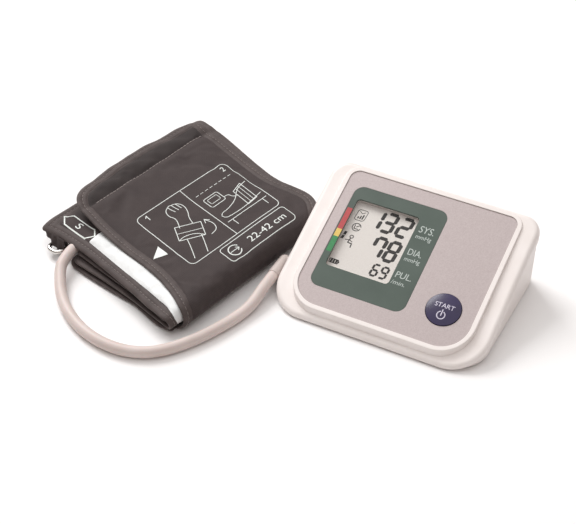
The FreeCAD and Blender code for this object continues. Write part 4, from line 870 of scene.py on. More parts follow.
def pattern(line, near, far, start_rounds=(0.0, 0.0), end_rounds=(0.0, 0.0)):
    """The band's outline: near and far edges by length, with rounded corners at each end."""
    def rounded(radius, distance):
        return radius - math.sqrt(max(radius**2 - max(radius - distance, 0.0) ** 2, 0.0))

    def straight(a, b):
        count = max(1, int(math.dist(a, b) / STEP))
        return [(a[0] + (b[0] - a[0]) * i / count, a[1] + (b[1] - a[1]) * i / count) for i in range(1, count)]

    count = int(line.length / STEP)
    marks = {i * line.length / count for i in range(count + 1)}
    for rounds, from_end in ((start_rounds, False), (end_rounds, True)):
        for radius in rounds:
            for turn in range(0, 90, 15):
                way_in = radius * (1 - math.cos(math.radians(turn)))
                marks.add(line.length - way_in if from_end else way_in)
    near_side, far_side = [], []
    for along in sorted(marks):
        cuts = [
            rounded(start_rounds[i], along) + rounded(end_rounds[i], line.length - along) for i in (0, 1)
        ]
        near_side.append((near(along) + cuts[0], along))
        far_side.append((far(along) - cuts[1], along))
    outline = far_side + straight(far_side[-1], near_side[-1])
    outline += near_side[::-1] + straight(near_side[0], far_side[0])
    kept = [outline[0]]
    for spot in outline[1:]:
        if math.dist(spot, kept[-1]) > 0.6:
            kept.append(spot)
    return kept


print("rows of points in from the edge:", len(PAD_SECTION), "over", PAD_SECTION[-1][0], "mm")

# %% Points for the mesh inside an outline
# A triangle grid's rows stand this share of its spacing apart.
ROW_SHARE = 0.87


def edge_distance(spot, outline):
    """Distance to the nearest side of the outline, and whether the spot is inside it."""
    x, y = spot
    best, inside = 1e9, False
    for (ax, ay), (bx, by) in zip(outline, outline[1:] + outline[:1]):
        dx, dy = bx - ax, by - ay
        t = min(1.0, max(0.0, ((x - ax) * dx + (y - ay) * dy) / (dx * dx + dy * dy)))
        best = min(best, (x - ax - t * dx) ** 2 + (y - ay - t * dy) ** 2)
        if (ay > y) != (by > y) and x < (bx - ax) * (y - ay) / (by - ay) + ax:
            inside = not inside
    return math.sqrt(best), inside


def seam_distance(spot, seams):
    """Distance to the nearest sewn line across the pad."""
    return min(edge_distance(spot, seam)[0] for seam in seams)


def inset(outline, distance, slack):
    """An outline's points moved inwards, each with its depth; those folded over at corners are left out."""
    moved = []
    for i, (x, y) in enumerate(outline):
        _, ux, uy = heading(outline[i - 1], outline[(i + 1) % len(outline)])
        spot = (x - uy * distance, y + ux * distance)
        deep, inside = edge_distance(spot, outline)
        if inside and deep > distance - slack:
            moved.append((spot, deep))
    return moved


def cut_points(outline, rows, seams, grid):
    """Outline, rows inside it, points along the seams, and a grid in the middle."""
    spots = [(spot, 0.0) for spot in outline]
    for row in rows[1:]:
        spots += inset(outline, row, 0.08)
    in_seam = []
    for (ax, ay), (bx, by) in seams:
        long, ux, uy = heading((ax, ay), (bx, by))
        for i in range(int(long / STEP) + 1):
            t = i * STEP / long
            for side in (-1.6, 0.0, 1.6):
                spot = (ax + (bx - ax) * t - uy * side, ay + (by - ay) * t + ux * side)
                distance, inside = edge_distance(spot, outline)
                if inside and distance > rows[-1] - 3.0:
                    in_seam.append((spot, distance))
    spots += in_seam
    low = [min(p[i] for p in outline) for i in (0, 1)]
    high = [max(p[i] for p in outline) for i in (0, 1)]
    for j in range(int((high[1] - low[1]) / (grid * ROW_SHARE)) + 1):
        for i in range(int((high[0] - low[0]) / grid) + 1):
            spot = (low[0] + (i + 0.5 * (j % 2)) * grid, low[1] + j * grid * ROW_SHARE)
            distance, inside = edge_distance(spot, outline)
            clear = all(math.dist(spot, other) > 1.9 for other, _ in in_seam)
            if inside and distance > rows[-1] + 1.3 and clear:
                spots.append((spot, distance))
    return spots


sample = round_box(0.0, 0.0, 40.0, 40.0, 3.0)
print("points for a 40 mm square:", len(cut_points(sample, (0.0, 2.0, 4.0), (), 5.0)))

# %% Padded mesh from an outline and a middle surface
def outward(surface, w, along):
    """A layer's middle at a chart place, and its outward direction there."""
    middle = surface(w, along)
    across = surface(w + 0.5, along) - middle
    onward = surface(w, along + 0.5) - middle
    return middle, across.cross(onward).normalized()


def cloth_piece(name, mesh, chart, materials):
    """Gives a mesh its chart, given in mm for each point, its materials and soft shading."""
    layer = mesh.uv_layers.new(name="band")
    for corner in mesh.loops:
        w, along = chart[corner.vertex_index]
        layer.data[corner.index].uv = (w * MM, along * MM)
    for material in materials:
        mesh.materials.append(material)
    for face in mesh.polygons:
        face.use_smooth = True
    whole = bmesh.new()
    whole.from_mesh(mesh)
    bmesh.ops.recalc_face_normals(whole, faces=whole.faces)
    whole.to_mesh(mesh)
    whole.free()
    print(name, "cloth:", len(mesh.vertices), "points,", len(mesh.polygons), "faces")
    return linked(name, mesh)


def padded_mesh(
    name, outline, surface, grid, materials, section=PAD_SECTION, seams=(), binding=BINDING,
):
    """A closed pad round a middle surface; surface(w, along) gives a place in the cuff frame."""
    spots = cut_points(outline, [row for row, _ in section], seams, grid)
    ring = list(range(len(outline)))
    edges = [(i, (i + 1) % len(outline)) for i in ring]
    flat, _, faces, origins, _, _ = delaunay_2d_cdt(
        [Vector(spot) for spot, _ in spots], edges, [ring], 1, 1e-4,
    )
    upper, lower, depths = [], [], []
    for place, origin in zip(flat, origins):
        distance = spots[origin[0]][1] if origin else edge_distance(place, outline)[0]
        half = smooth_at(section, distance)
        if seams:
            half *= 0.5 + 0.5 * min(1.0, seam_distance(place, seams) / 2.2)
        middle, normal = outward(surface, place.x, place.y)
        upper.append(middle + normal * half)
        lower.append(middle - normal * half)
        depths.append(distance)
    count = len(upper)
    loop = [i for i, origin in enumerate(origins) if origin and origin[0] < len(outline)]
    loop.sort(key=lambda i: origins[i][0])
    closed = [tuple(face) for face in faces] + [tuple(i + count for i in reversed(face)) for face in faces]
    closed += [(a, a + count, b + count, b) for a, b in zip(loop, loop[1:] + loop[:1])]
    mesh = bpy.data.meshes.new(name)
    mesh.from_pydata([set_in(cuff_frame, v) for v in upper + lower], [], closed)
    mesh.validate()
    pad = cloth_piece(name, mesh, flat + flat, materials)
    held = pad.vertex_groups.new(name="sewn")
    for i in range(2 * count):
        sewn = depths[i % count] < binding + 0.2
        if seams and seam_distance(flat[i % count], seams) < 0.8:
            sewn = True
        held.add([i], 1.0 if sewn else 0.0, "REPLACE")
    for face in mesh.polygons:
        bound = all(depths[i % count] < binding + 0.1 for i in face.vertices)
        face.material_index = 1 if bound and len(materials) > 1 else 0
    return pad


print("a pad's middle is", 2 * smooth_at(PAD_SECTION, 20.0), "mm thick")

# %% [markdown]
# Padding pushes the two faces of a layer apart, and the sewn lines hold them down, so the
# cloth swells softly and puckers a little along its seams. Blender's Cloth with pressure
# does the same: the sewn points are pinned, gravity is left out because the layer lies on
# the one below, and the cloth is allowed one percent of spare length, which becomes the
# puckers. Each point's way is capped, so that the layers stay clear of each other.

# %% Swell a pad by cloth simulation
# The layer below stops the cloth from sinking by more than this, in mm.
SWELL_FRAMES = 20
MOST_DOWN = 0.12


def swell(pad, most_up):
    """Blows a pad up between its seams and keeps the result as its mesh."""
    trial = pad.copy()
    trial.data = pad.data.copy()
    scene.collection.objects.link(trial)
    cloth = trial.modifiers.new("Cloth", "CLOTH")
    settings = cloth.settings
    settings.quality = 6
    settings.mass = 0.15
    settings.tension_stiffness = settings.compression_stiffness = 12.0
    settings.bending_stiffness = 0.3
    settings.use_pressure = True
    settings.uniform_pressure_force = 4.0
    settings.shrink_min = -0.012
    settings.vertex_group_mass = "sewn"
    settings.effector_weights.gravity = 0.0
    cloth.collision_settings.use_collision = False
    cloth.collision_settings.use_self_collision = False
    cloth.point_cache.frame_start = 1
    cloth.point_cache.frame_end = SWELL_FRAMES
    for number in range(1, SWELL_FRAMES + 1):
        scene.frame_set(number)
    swollen = trial.evaluated_get(bpy.context.evaluated_depsgraph_get()).to_mesh()
    up = cuff_frame.to_3x3().col[2].normalized()
    furthest = 0.0
    for vertex, moved in zip(pad.data.vertices, swollen.vertices):
        way = moved.co - vertex.co
        most = (most_up if way.dot(up) > 0 else MOST_DOWN) * MM
        if way.length > most:
            way = way.normalized() * most
        furthest = max(furthest, way.length)
        vertex.co = vertex.co + way
    bpy.data.objects.remove(trial)
    scene.frame_set(1)
    print(pad.name, "swelled by up to", round(furthest / MM, 2), "mm")


def smoothed(pad):
    """One subdivision, applied, so that the pad has no facets."""
    finer = pad.modifiers.new("finer", "SUBSURF")
    finer.levels = finer.render_levels = 1
    old = pad.data
    pad.data = bpy.data.meshes.new_from_object(
        pad.evaluated_get(bpy.context.evaluated_depsgraph_get())
    )
    pad.modifiers.clear()
    bpy.data.meshes.remove(old)


print("a pad swells over", SWELL_FRAMES, "frames")

# %% [markdown]
# The cuff's outside is oxford nylon: a plain weave of dull filament yarn, dyed a warm dark
# grey, which shows as a fine even tooth and a slight bloom at a slant. Its edges are bound
# with a ribbed grosgrain tape of the same dye, a shade lighter, because its ribs catch the
# light. The weave is drawn from the band's own chart, so it turns round the folds with the
# cloth, whatever the mesh below.

# %% Oxford nylon and grosgrain tape
def woven(name, dark, light, thread_mm, height, sheen):
    """A plain weave: threads across and along, one over the other in turn."""
    material, shader = finish(name, IOR=1.5, Roughness=0.82, Sheen_Weight=sheen, Sheen_Roughness=0.4)
    shader.inputs["Sheen Tint"].default_value = linear("#b9adab")
    chart = add(material, "ShaderNodeUVMap", uv_map="band").outputs["UV"]
    across, onward = [
        add(material, "ShaderNodeTexWave", {"Vector": chart, "Scale": ripple(thread_mm)}, bands_direction=way)
        for way in "XY"
    ]
    over = add(material, "ShaderNodeTexChecker", {"Vector": chart, "Scale": size_of(thread_mm)})
    threads = add(material, "ShaderNodeMix", {
        0: over.outputs["Fac"], 2: across.outputs["Fac"], 3: onward.outputs["Fac"],
    })
    cloudy = add(material, "ShaderNodeTexNoise", {
        "Vector": chart, "Scale": size_of(14.0), "Detail": 5.0, "Roughness": 0.6,
    })
    shade = add(material, "ShaderNodeMath", {0: threads.outputs[0], 1: 0.35}, operation="MULTIPLY")
    blend = add(material, "ShaderNodeMath", {
        0: cloudy.outputs["Fac"], 1: shade.outputs["Value"],
    }, operation="ADD")
    two_tones(material, shader, blend.outputs["Value"], dark, light, 0.35, 0.95)
    add(material, "ShaderNodeBump", {
        "Height": threads.outputs[0], "Strength": height, "Distance": 0.15 * MM,
    }, into=shader.inputs["Normal"])
    return material


# Real oxford yarn is about 0.5 mm; 1.1 mm is the finest that this distance shows.
nylon = woven("oxford_nylon", "#382f2f", "#463c3b", 1.1, 0.35, 0.08)
print("cloth:", nylon.name)


def ribbed(name, dark, light, light_at, rib_mm, cloud_mm, height, depth_mm, **sockets):
    """A ribbon with ribs that run across it, under a cloudy drift of tone."""
    material, shader = finish(name, **sockets)
    chart = add(material, "ShaderNodeUVMap", uv_map="band").outputs["UV"]
    ribs = add(material, "ShaderNodeTexWave", {
        "Vector": chart, "Scale": ripple(rib_mm),
    }, bands_direction="Y")
    cloudy = add(material, "ShaderNodeTexNoise", {
        "Vector": chart, "Scale": size_of(cloud_mm), "Detail": 4.0,
    })
    two_tones(material, shader, cloudy.outputs["Fac"], dark, light, 0.3, light_at)
    add(material, "ShaderNodeBump", {
        "Height": ribs.outputs["Fac"], "Strength": height, "Distance": depth_mm * MM,
    }, into=shader.inputs["Normal"])
    return material


grosgrain = ribbed(
    "grosgrain_tape", "#453b39", "#574c4a", 0.75, 1.2, 7.0, 0.4, 0.15,
    IOR=1.5, Roughness=0.7, Sheen_Weight=0.15, Sheen_Roughness=0.4,
)
print("tape:", grosgrain.name)

# %% [markdown]
# The bottom layer lies on the table and turns up into the fold. It stops just where the
# fold begins, and the fold itself belongs to the next piece, which has to bend when the flap
# is opened.

# %% Bottom layer
BASE_NEAR = (
    (-4.0, -4.6), (0.0, -5.6), (6.0, -7.2), (13.0, -8.4), (21.0, -7.7), (31.0, -6.0), (40.0, -4.8),
    (52.0, -5.4), (80.0, -5.6), (101.6, -4.6),
)
BASE_WIDE, BASE_ROUND = 136.0, 22.0
FOLD_FRONT = -4.5


def in_fold(l, radius):
    """How far the corner beside the monitor is rounded away, seen from above."""
    start = FOLD_FRONT + radius
    return 0.0 if l > start else radius - math.sqrt(max(radius**2 - (start - l) ** 2, 0.0))


def base_surface(w, along):
    """The bottom layer's middle, in the cuff frame."""
    l, z = base_line.at(along)
    return Vector((w, l, z))


def base_near(along):
    """Its near edge, across the band."""
    return smooth_at(BASE_NEAR, base_line.at(along)[0])


def base_far(along):
    """Its far edge."""
    return BASE_WIDE - in_fold(base_line.at(along)[0], BASE_ROUND)


bottom = padded_mesh(
    "cuff_bottom_layer", pattern(base_line, base_near, base_far, start_rounds=(8.0, 8.0)),
    base_surface, grid=5.0, materials=(nylon, grosgrain),
)
smoothed(bottom)
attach(bottom, "cuff")
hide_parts("cuff_outer_wrap")

# %% [markdown]
# The two inner layers and their fold are one pad. Its upper half is the tongue that shows
# along the near side, with the size mark and the white index band on it.

# %% Inner layers
INNER_NEAR = (
    (0.0, -4.0), (38.0, -4.2), (60.0, -5.4), (80.0, -7.6), (91.0, -8.8), (99.0, -10.6), (104.0, -11.6),
    (109.0, -11.2), (115.0, -9.9), (123.0, -8.8), (131.0, -7.3), (139.0, -5.8), (148.0, -4.3),
    (169.0, -1.6), (193.0, 1.0), (211.0, 1.4), (221.0, 0.6), (229.3, -1.4),
)
INNER_WIDE, INNER_ROUND = 134.0, 20.0
# The length half way round the fold, from where on the layer is an upper one.
INNER_TOP = inner_line.marks[2] + math.pi * INNER_FOLD / 2


def inner_surface(w, along):
    """The inner layers' middle; the tongue droops over its near edge and waves a little."""
    l, z = inner_line.at(along)
    droop = 0.0
    if along > INNER_TOP:
        near = smooth_at(INNER_NEAR, along)
        droop = 3.0 * max(0.0, 1.0 - (w - near) / 12.0) ** 2 * rising(l, 4.0, 14.0)
        droop += 0.35 * noise(Vector((w / 26.0, l / 26.0, 1.7)))
    return Vector((w, l, z - droop))


def inner_near(along):
    """Their near edge."""
    return smooth_at(INNER_NEAR, along)


def inner_far(along):
    """Their far edge."""
    return INNER_WIDE - in_fold(inner_line.at(along)[0], INNER_ROUND)


tongue_outline = pattern(inner_line, inner_near, inner_far, start_rounds=(6.0, 6.0), end_rounds=(3.0, 6.0))
tongue = padded_mesh(
    "cuff_inner_layers", tongue_outline, inner_surface, grid=3.6, materials=(nylon, grosgrain),
)
swell(tongue, most_up=0.7)
smoothed(tongue)
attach(tongue, "cuff")
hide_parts("cuff_inner_wrap")

# %% [markdown]
# The fold and the flap are one pad as well. The flap lies flat over the print and then lifts
# off the tongue, more at its near corner than at its far one.

# %% Fold and flap
FLAP_NEAR = (
    (0.0, -3.0), (7.0, -1.8), (12.5, -1.7), (16.0, -1.4), (19.3, -0.9), (22.8, 0.2), (27.8, 2.5),
    (33.8, 4.9), (40.5, 7.2), (48.3, 9.3), (57.4, 11.1), (66.1, 12.3), (79.5, 13.4), (104.5, 16.2),
    (121.5, 18.6), (143.5, 22.5),
)
FLAP_FAR = (
    (-5.0, 136.0), (10.0, 136.4), (27.0, 136.2), (45.0, 135.4), (62.0, 138.2), (76.0, 141.0),
    (99.0, 145.0), (118.0, 147.0), (125.0, 147.4),
)
# How far the flap's far edge is drawn in, at each l, so that the layer below it shows.
UNDER_SHOWS = ((20.0, 0.0), (40.0, 1.4), (70.0, 2.6), (100.0, 3.4), (125.0, 3.6))
# The same half way for the flap's own fold, which starts a little way up.
FLAP_TOP = math.pi * OUTER_FOLD * (90.0 - FLAP_STARTS) / 180.0
LIFTS_FROM = 66.0
SEAM_AT = 110.6
TIP_NEAR, TIP_FAR = 22.5, 143.8


def flap_lift(w, l):
    """How far the flap stands off its own flat place, in mm."""
    out = max(0.0, (l - LIFTS_FROM) / (FLAP_END - LIFTS_FROM))
    corner = 9.4 - 5.0 * w / 147.0
    wave = 0.45 * noise(Vector((w / 30.0, l / 30.0, 4.2)))
    crease = 0.9 * math.exp(-((l - SEAM_AT) / 3.0) ** 2)
    crumple = 1.3 * noise(Vector((w / 16.0 + l / 11.0, l / 40.0, 9.1))) * rising(l, 104.0, 10.0)
    return corner * out**1.5 + wave * rising(l, 6.0, 15.0) - crease + crumple


def tip_bow(w):
    """How much further than its corners the flap's free end reaches, at one place across it."""
    share = rising(w, TIP_NEAR, TIP_FAR - TIP_NEAR)
    return 0.4 + 3.4 * share + 4.2 * math.sin(math.pi * share)


def flap_surface(w, along):
    """The flap's middle: it lifts, and its tip turns down over the last 7 mm."""
    l, z = flap_line.at(along)
    if along > FLAP_TOP:
        z += flap_lift(w, l)
        edge = max(0.0, 1.0 - (flap_line.length + tip_bow(w) - along) / 7.0)
        z -= 1.7 * edge * edge
    return Vector((w, l, z))


def flap_near(along):
    """Its near edge."""
    return smooth_at(FLAP_NEAR, along)


def flap_far(along):
    """Its far edge."""
    l = flap_line.at(along)[0]
    return smooth_at(FLAP_FAR, l) - in_fold(l, BASE_ROUND) - smooth_at(UNDER_SHOWS, l)


def flap_length(l):
    """Length along the band where the flap is at l, on its upper side."""
    return flap_line.length - (FLAP_END - l)


def bowed(outline, reach=22.0):
    """The flap's free end is cut to a shallow curve, furthest out in its middle."""
    return [
        (w, along + tip_bow(w) * max(0.0, 1.0 - (flap_line.length - along) / reach))
        for w, along in outline
    ]


flap_seam = ((26.0, flap_length(109.4)), (141.0, flap_length(112.6)))
flap_outline = bowed(pattern(flap_line, flap_near, flap_far, end_rounds=(13.0, 7.0)))
flap = padded_mesh(
    "cuff_flap_layer", flap_outline, flap_surface, seams=[flap_seam], grid=3.0, materials=(nylon, grosgrain),
)
swell(flap, most_up=1.3)
smoothed(flap)
# Beyond the seam the flap's nylon gets a darker colour: painted shade for that end of the flap.
painted_shade_nylon = woven("oxford_nylon_backing", "#2d2626", "#3a3231", 1.1, 0.35, 0.06)
flap.data.materials.append(painted_shade_nylon)
flap_chart = flap.data.uv_layers["band"].data
(seam_w, seam_start), (seam_end_w, seam_end) = flap_seam
# Faces past the seam line take the darker nylon, the painted shade.
for polygon in flap.data.polygons:
    corners = [flap_chart[i].uv for i in polygon.loop_indices]
    w, along = sum(corners, Vector((0.0, 0.0))) / len(corners) / MM
    seam_along = seam_start + (seam_end - seam_start) * (w - seam_w) / (seam_end_w - seam_w)
    if polygon.material_index == 0 and along > seam_along:
        polygon.material_index = 2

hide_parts("cuff_flap")
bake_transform(flap)

# %% [markdown]
# Along its far edge the flap is made of two bound layers that have slipped a little, so the
# edge of the lower one shows beside the upper one, most of all at the free corner.

# %% Lower layer at the flap's far edge
UNDER_FROM, UNDER_TO = 26.0, 132.5
UNDER_SECTION = ((0.0, 0.3), (0.5, 0.6), (1.6, 0.8), (2.9, 0.75), (3.8, 0.5), (4.7, 0.7), (7.2, 0.55))
under_start = flap_length(UNDER_FROM)
under_line = SideLine([flap_line.at(under_start), flap_line.at(flap_length(UNDER_TO))])


def under_far(along):
    """The strip's far edge, at a length along the whole band."""
    return flap_far(along) + 1.5 * smooth_at(UNDER_SHOWS, flap_line.at(along)[0])


def under_surface(w, along):
    """Its middle, close under the flap and a little deeper away from its far edge."""
    middle, out = outward(flap_surface, w, along)
    return middle - out * (1.75 + 0.95 * rising(under_far(along) - w, 5.0, 8.0))


def under_wide(along):
    """The strip is 20 mm wide and tapers at both ends."""
    left = under_line.length - along
    return 20.0 - 5.0 * max(0.0, 1.0 - along / 20.0) - 10.0 * max(0.0, 1.0 - left / 12.0)


def under_near(along):
    """Its near edge, at a length along the strip."""
    return under_far(along + under_start) - under_wide(along)


under_pattern = pattern(
    under_line, under_near, lambda along: under_far(along + under_start) + 0.2,
    start_rounds=(2.0, 6.0), end_rounds=(3.0, 6.0),
)
under = padded_mesh(
    "flap_lower_layer", [(w, along + under_start) for w, along in under_pattern], under_surface,
    section=UNDER_SECTION, grid=4.0, materials=(grosgrain, grosgrain),
)
smoothed(under)
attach(under, "flap")

# %% [markdown]
# Small sewn pieces go onto the finished layers, wherever those have swollen to. Each is
# planned in the band's own chart, across and along, and then dropped onto the layer along
# the layer's own outward direction, which also works round a fold, where looking straight
# down would miss it.

# %% Putting small pieces on a layer
# A ray starts this far outside a layer and looks this far inwards for its surface.
RAY_FROM, RAY_LONG = 6.0, 12.0


def on_layer(tree, surface, w, along, above):
    """A chart place on the layer's real outside, lifted by so much, in world space."""
    middle, out = outward(surface, w, along)
    turned = (cuff_frame.to_3x3() @ out).normalized()
    hit = tree.ray_cast(set_in(cuff_frame, middle + out * RAY_FROM), -turned, RAY_LONG * MM)[0]
    foot = hit if hit is not None else set_in(cuff_frame, middle + out * 1.6)
    return foot + turned * above * MM


def lofted(name, rows, charts, material, closed=False):
    """A skin over rows of world points, or a closed tube; charts holds each point's chart place in mm."""
    count = len(rows[0])
    faces = []
    for i in range(len(rows) - 1):
        for j in range(count if closed else count - 1):
            k = (j + 1) % count
            faces.append((i * count + j, i * count + k, (i + 1) * count + k, (i + 1) * count + j))
    if closed:
        faces.append(tuple(reversed(range(count))))
        faces.append(tuple(range((len(rows) - 1) * count, len(rows) * count)))
    mesh = bpy.data.meshes.new(name)
    mesh.from_pydata([spot for row in rows for spot in row], [], faces)
    return cloth_piece(name, mesh, [spot for row in charts for spot in row], [material])


tongue_tree = tree_of([tongue])
flap_tree = tree_of([flap])
flap_top = on_layer(flap_tree, flap_surface, 60.0, flap_length(60.0), 0.0)
print("the flap's top, 60 mm along, stands", round(flap_top.z / MM, 1), "mm over the table")

# %% [markdown]
# The air bladder is a welded bag in a thin casing of lining taffeta. It lies between the
# inner layers, and its bound edge shows in the stack along the near side. Empty, it is a
# slack pad, thick in the middle and thin at the weld.

# %% Air bladder in its casing
lining = woven("taffeta_lining", "#372f2e", "#463c3b", 0.9, 0.3, 0.08)
BLADDER_SECTION = (
    (0.0, 0.3), (0.5, 0.75), (1.6, 0.95), (2.9, 0.9), (3.8, 0.7), (5.2, 1.1), (8.0, 1.9), (12.0, 2.5),
    (18.0, 2.8),
)
BLADDER_NEAR = ((5.6, -8.6), (12.0, -7.8), (20.0, -6.4), (37.0, -3.6), (60.0, -2.0), (96.6, 0.6))
BLADDER_Z, BLADDER_FAR = 10.1, 131.0
bladder_line = SideLine([(5.6, BLADDER_Z), (40.0, BLADDER_Z), (96.6, BLADDER_Z)])


def bladder_near(along):
    """The casing's near edge."""
    return smooth_at(BLADDER_NEAR, bladder_line.at(along)[0])


def bladder_surface(w, along):
    """The casing's middle, which droops over its near edge."""
    l, z = bladder_line.at(along)
    return Vector((w, l, z - 1.5 * max(0.0, 1.0 - (w - bladder_near(along)) / 12.0) ** 2))


bladder = padded_mesh(
    "bladder_casing",
    pattern(
        bladder_line, bladder_near, lambda along: BLADDER_FAR,
        start_rounds=(4.0, 10.0), end_rounds=(3.0, 6.0),
    ),
    bladder_surface, section=BLADDER_SECTION, grid=6.0, materials=(lining, grosgrain), binding=SEWN_AT,
)
smoothed(bladder)
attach(bladder, "cuff")
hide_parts("air_bladder")

# %% [markdown]
# The metal ring turns in a sleeve: a strip of the cover cloth folded round its bar and sewn
# down to the band's end with a flat tail. The cloth pulls tight round the bar and puckers a
# little on both sides of the seam.

# %% Sleeve of the ring
SLEEVE_BAR = (108.5, 5.4)
SLEEVE_START, SLEEVE_WIDE, SLEEVE_STEPS = 14.0, 108.0, 36
TAIL_Z = 3.4
sleeve_rows, sleeve_charts = [], []
for i in range(SLEEVE_STEPS + 1):
    w = SLEEVE_START + SLEEVE_WIDE * i / SLEEVE_STEPS
    pucker = 0.16 * noise(Vector((w / 4.0, 3.3, 0.7)))
    hem = 0.12 if i in (0, SLEEVE_STEPS) else 0.0
    loop = []
    for turn in range(-125, 176, 20):
        radius = 3.0 + pucker * math.cos(math.radians(turn * 2)) + hem
        angle = math.radians(turn + 25)
        loop.append((SLEEVE_BAR[0] + radius * math.sin(angle), SLEEVE_BAR[1] + radius * math.cos(angle)))
    thick = 0.62 + pucker * 0.5
    loop += [(104.6, TAIL_Z - 0.05 - thick), (101.0, TAIL_Z - thick * 0.9), (97.4, TAIL_Z - 0.5)]
    loop += [(97.4, TAIL_Z + 0.5), (101.0, TAIL_Z + thick * 0.9), (104.6, TAIL_Z + 0.1 + thick)]
    sleeve_rows.append([set_in(cuff_frame, (w, l, z)) for l, z in loop])
    sleeve_charts.append([(w, run) for run in SideLine(loop).marks])
sleeve = lofted("ring_sleeve_cloth", sleeve_rows, sleeve_charts, nylon, closed=True)
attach(sleeve, "cuff")
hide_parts("ring_sleeve")

# %% [markdown]
# At the ring's end the cover is gathered and hangs down inside the ring in soft upright
# folds. Its lower edge is caught by the ring.

# %% Gathered end of the cover
END_FOOT = ((107.6, 2.4), (112.0, 2.8), (115.0, 4.6), (117.4, 7.4), (121.0, 9.6), (126.4, 12.2))
END_TOP, END_AT, PLEAT = 12.9, 126.4, 5.4


def gathered_end(name, middle_w, lean, depth, phase, first_l):
    """A hanging fold of cloth along the band's end, thin and rippled."""
    rows, charts = [], []
    for i in range(29):
        l = first_l + (END_AT - first_l) * i / 28
        foot = smooth_at(END_FOOT, l)
        closing = min(1.0, (END_AT + 0.2 - l) / 6.0)
        side = []
        for j in range(9):
            t = j / 8
            fold = depth * math.sin((l + phase) * 2 * math.pi / PLEAT + 0.8 * t) * (0.25 + 0.75 * t)
            fold += 0.7 * noise(Vector((l / 3.0, t * 2.0, phase)))
            side.append((middle_w - lean * t * closing + fold * closing, l, END_TOP + (foot - END_TOP) * t))
        loop = [(w - 0.45, l, z) for w, l, z in side] + [(w + 0.45, l, z) for w, l, z in reversed(side)]
        rows.append([set_in(cuff_frame, spot) for spot in loop])
        charts.append([(z, l) for _, l, z in loop])
    made = lofted(name, rows, charts, lining, closed=True)
    smoothed(made)
    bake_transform(made)


gathered_end("end_gather_outer", 0.9, 2.2, 0.9, 0.0, 107.4)
gathered_end("end_gather_inner", 5.2, 0.8, 1.2, 2.1, 108.6)

# %% [markdown]
# Hook tape is a stiff nylon ground with rows of tiny bent hooks, and loop tape is a soft
# pile. The first is sewn under the free end of the flap and the second on the layer that
# it closes onto. At this distance hooks read as a fine gritty grid, and loops as a felt
# with a pale bloom.

# %% Hook and loop tapes
hooks, shader = finish("hook_tape_nylon", IOR=1.5, Roughness=0.55)
place = add(hooks, "ShaderNodeUVMap", uv_map="band").outputs["UV"]
hook_grid = add(hooks, "ShaderNodeTexVoronoi", {"Vector": place, "Scale": size_of(1.3), "Randomness": 0.35})
two_tones(hooks, shader, hook_grid.outputs["Distance"], "#4a4443", "#2a2625", 0.1, 0.6)
add(hooks, "ShaderNodeBump", {
    "Height": hook_grid.outputs["Distance"], "Strength": 0.8, "Distance": 0.4 * MM,
}, into=shader.inputs["Normal"], invert=True)

loops, shader = finish("loop_tape_pile", IOR=1.5, Roughness=0.95, Sheen_Weight=0.5, Sheen_Roughness=0.5)
shader.inputs["Sheen Tint"].default_value = linear("#9a908e")
place = add(loops, "ShaderNodeUVMap", uv_map="band").outputs["UV"]
pile = add(loops, "ShaderNodeTexNoise", {
    "Vector": place, "Scale": size_of(0.9), "Detail": 5.0, "Roughness": 0.7,
})
two_tones(loops, shader, pile.outputs["Fac"], "#35302f", "#514948")
add(loops, "ShaderNodeBump", {
    "Height": pile.outputs["Fac"], "Strength": 0.7, "Distance": 0.5 * MM,
}, into=shader.inputs["Normal"])

TAPE_SECTION = ((0.0, 0.18), (0.5, 0.4), (1.4, 0.45), (2.4, 0.36), (3.4, 0.45))
PATCH_NEAR, PATCH_FAR, PATCH_ROUND = 33.0, 129.0, 3.0


def inner_length(l):
    """Length along the band where the tongue is at l, on its upper side."""
    return inner_line.length - (TONGUE_END - l)


def under_flap(w, along):
    """The middle of a tape sewn under the flap."""
    middle, out = outward(flap_surface, w, along)
    return middle - out * 2.2


def over_tongue(w, along):
    """The middle of a tape sewn on the tongue."""
    return cuff_frame.inverted() @ (on_layer(tongue_tree, inner_surface, w, along, 0.3) / MM)


hook_outline = round_box(PATCH_NEAR, flap_length(96.5), PATCH_FAR, flap_length(121.5), PATCH_ROUND)
hook_patch = padded_mesh(
    "hook_patch_tape", hook_outline, under_flap, section=TAPE_SECTION, grid=5.0, materials=(hooks,),
)
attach(hook_patch, "flap")
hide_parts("hook_patch")

loop_outline = round_box(PATCH_NEAR, inner_length(97.5), PATCH_FAR, inner_length(122.5), PATCH_ROUND)
loop_patch = padded_mesh(
    "loop_patch_tape", loop_outline, over_tongue, section=TAPE_SECTION, grid=5.0, materials=(loops,),
)
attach(loop_patch, "cuff")
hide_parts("loop_patch")

# %% [markdown]
# A strip of bleached satin tape is sewn along the tongue, as the range mark of the cuff: the
# flap's index has to close beside it. It runs from the size mark down round the fold.

# %% White range band
satin = ribbed(
    "bleached_satin", "#e9ebeb", "#f6f7f7", 0.7, 0.7, 9.0, 0.2, 0.08,
    IOR=1.5, Roughness=0.6, Sheen_Weight=0.2, Sheen_Roughness=0.3,
)
BAND_NEAR = (
    (97.0, -3.8), (101.5, -5.8), (105.0, -5.4), (111.0, -3.2), (121.0, -1.5), (134.0, 0.6), (147.0, 2.4),
    (160.0, 4.0), (192.3, 8.4),
)
BAND_ROWS, BAND_COLUMNS = 90, 12
BAND_START, BAND_END = BAND_NEAR[0][0], inner_length(91.5)
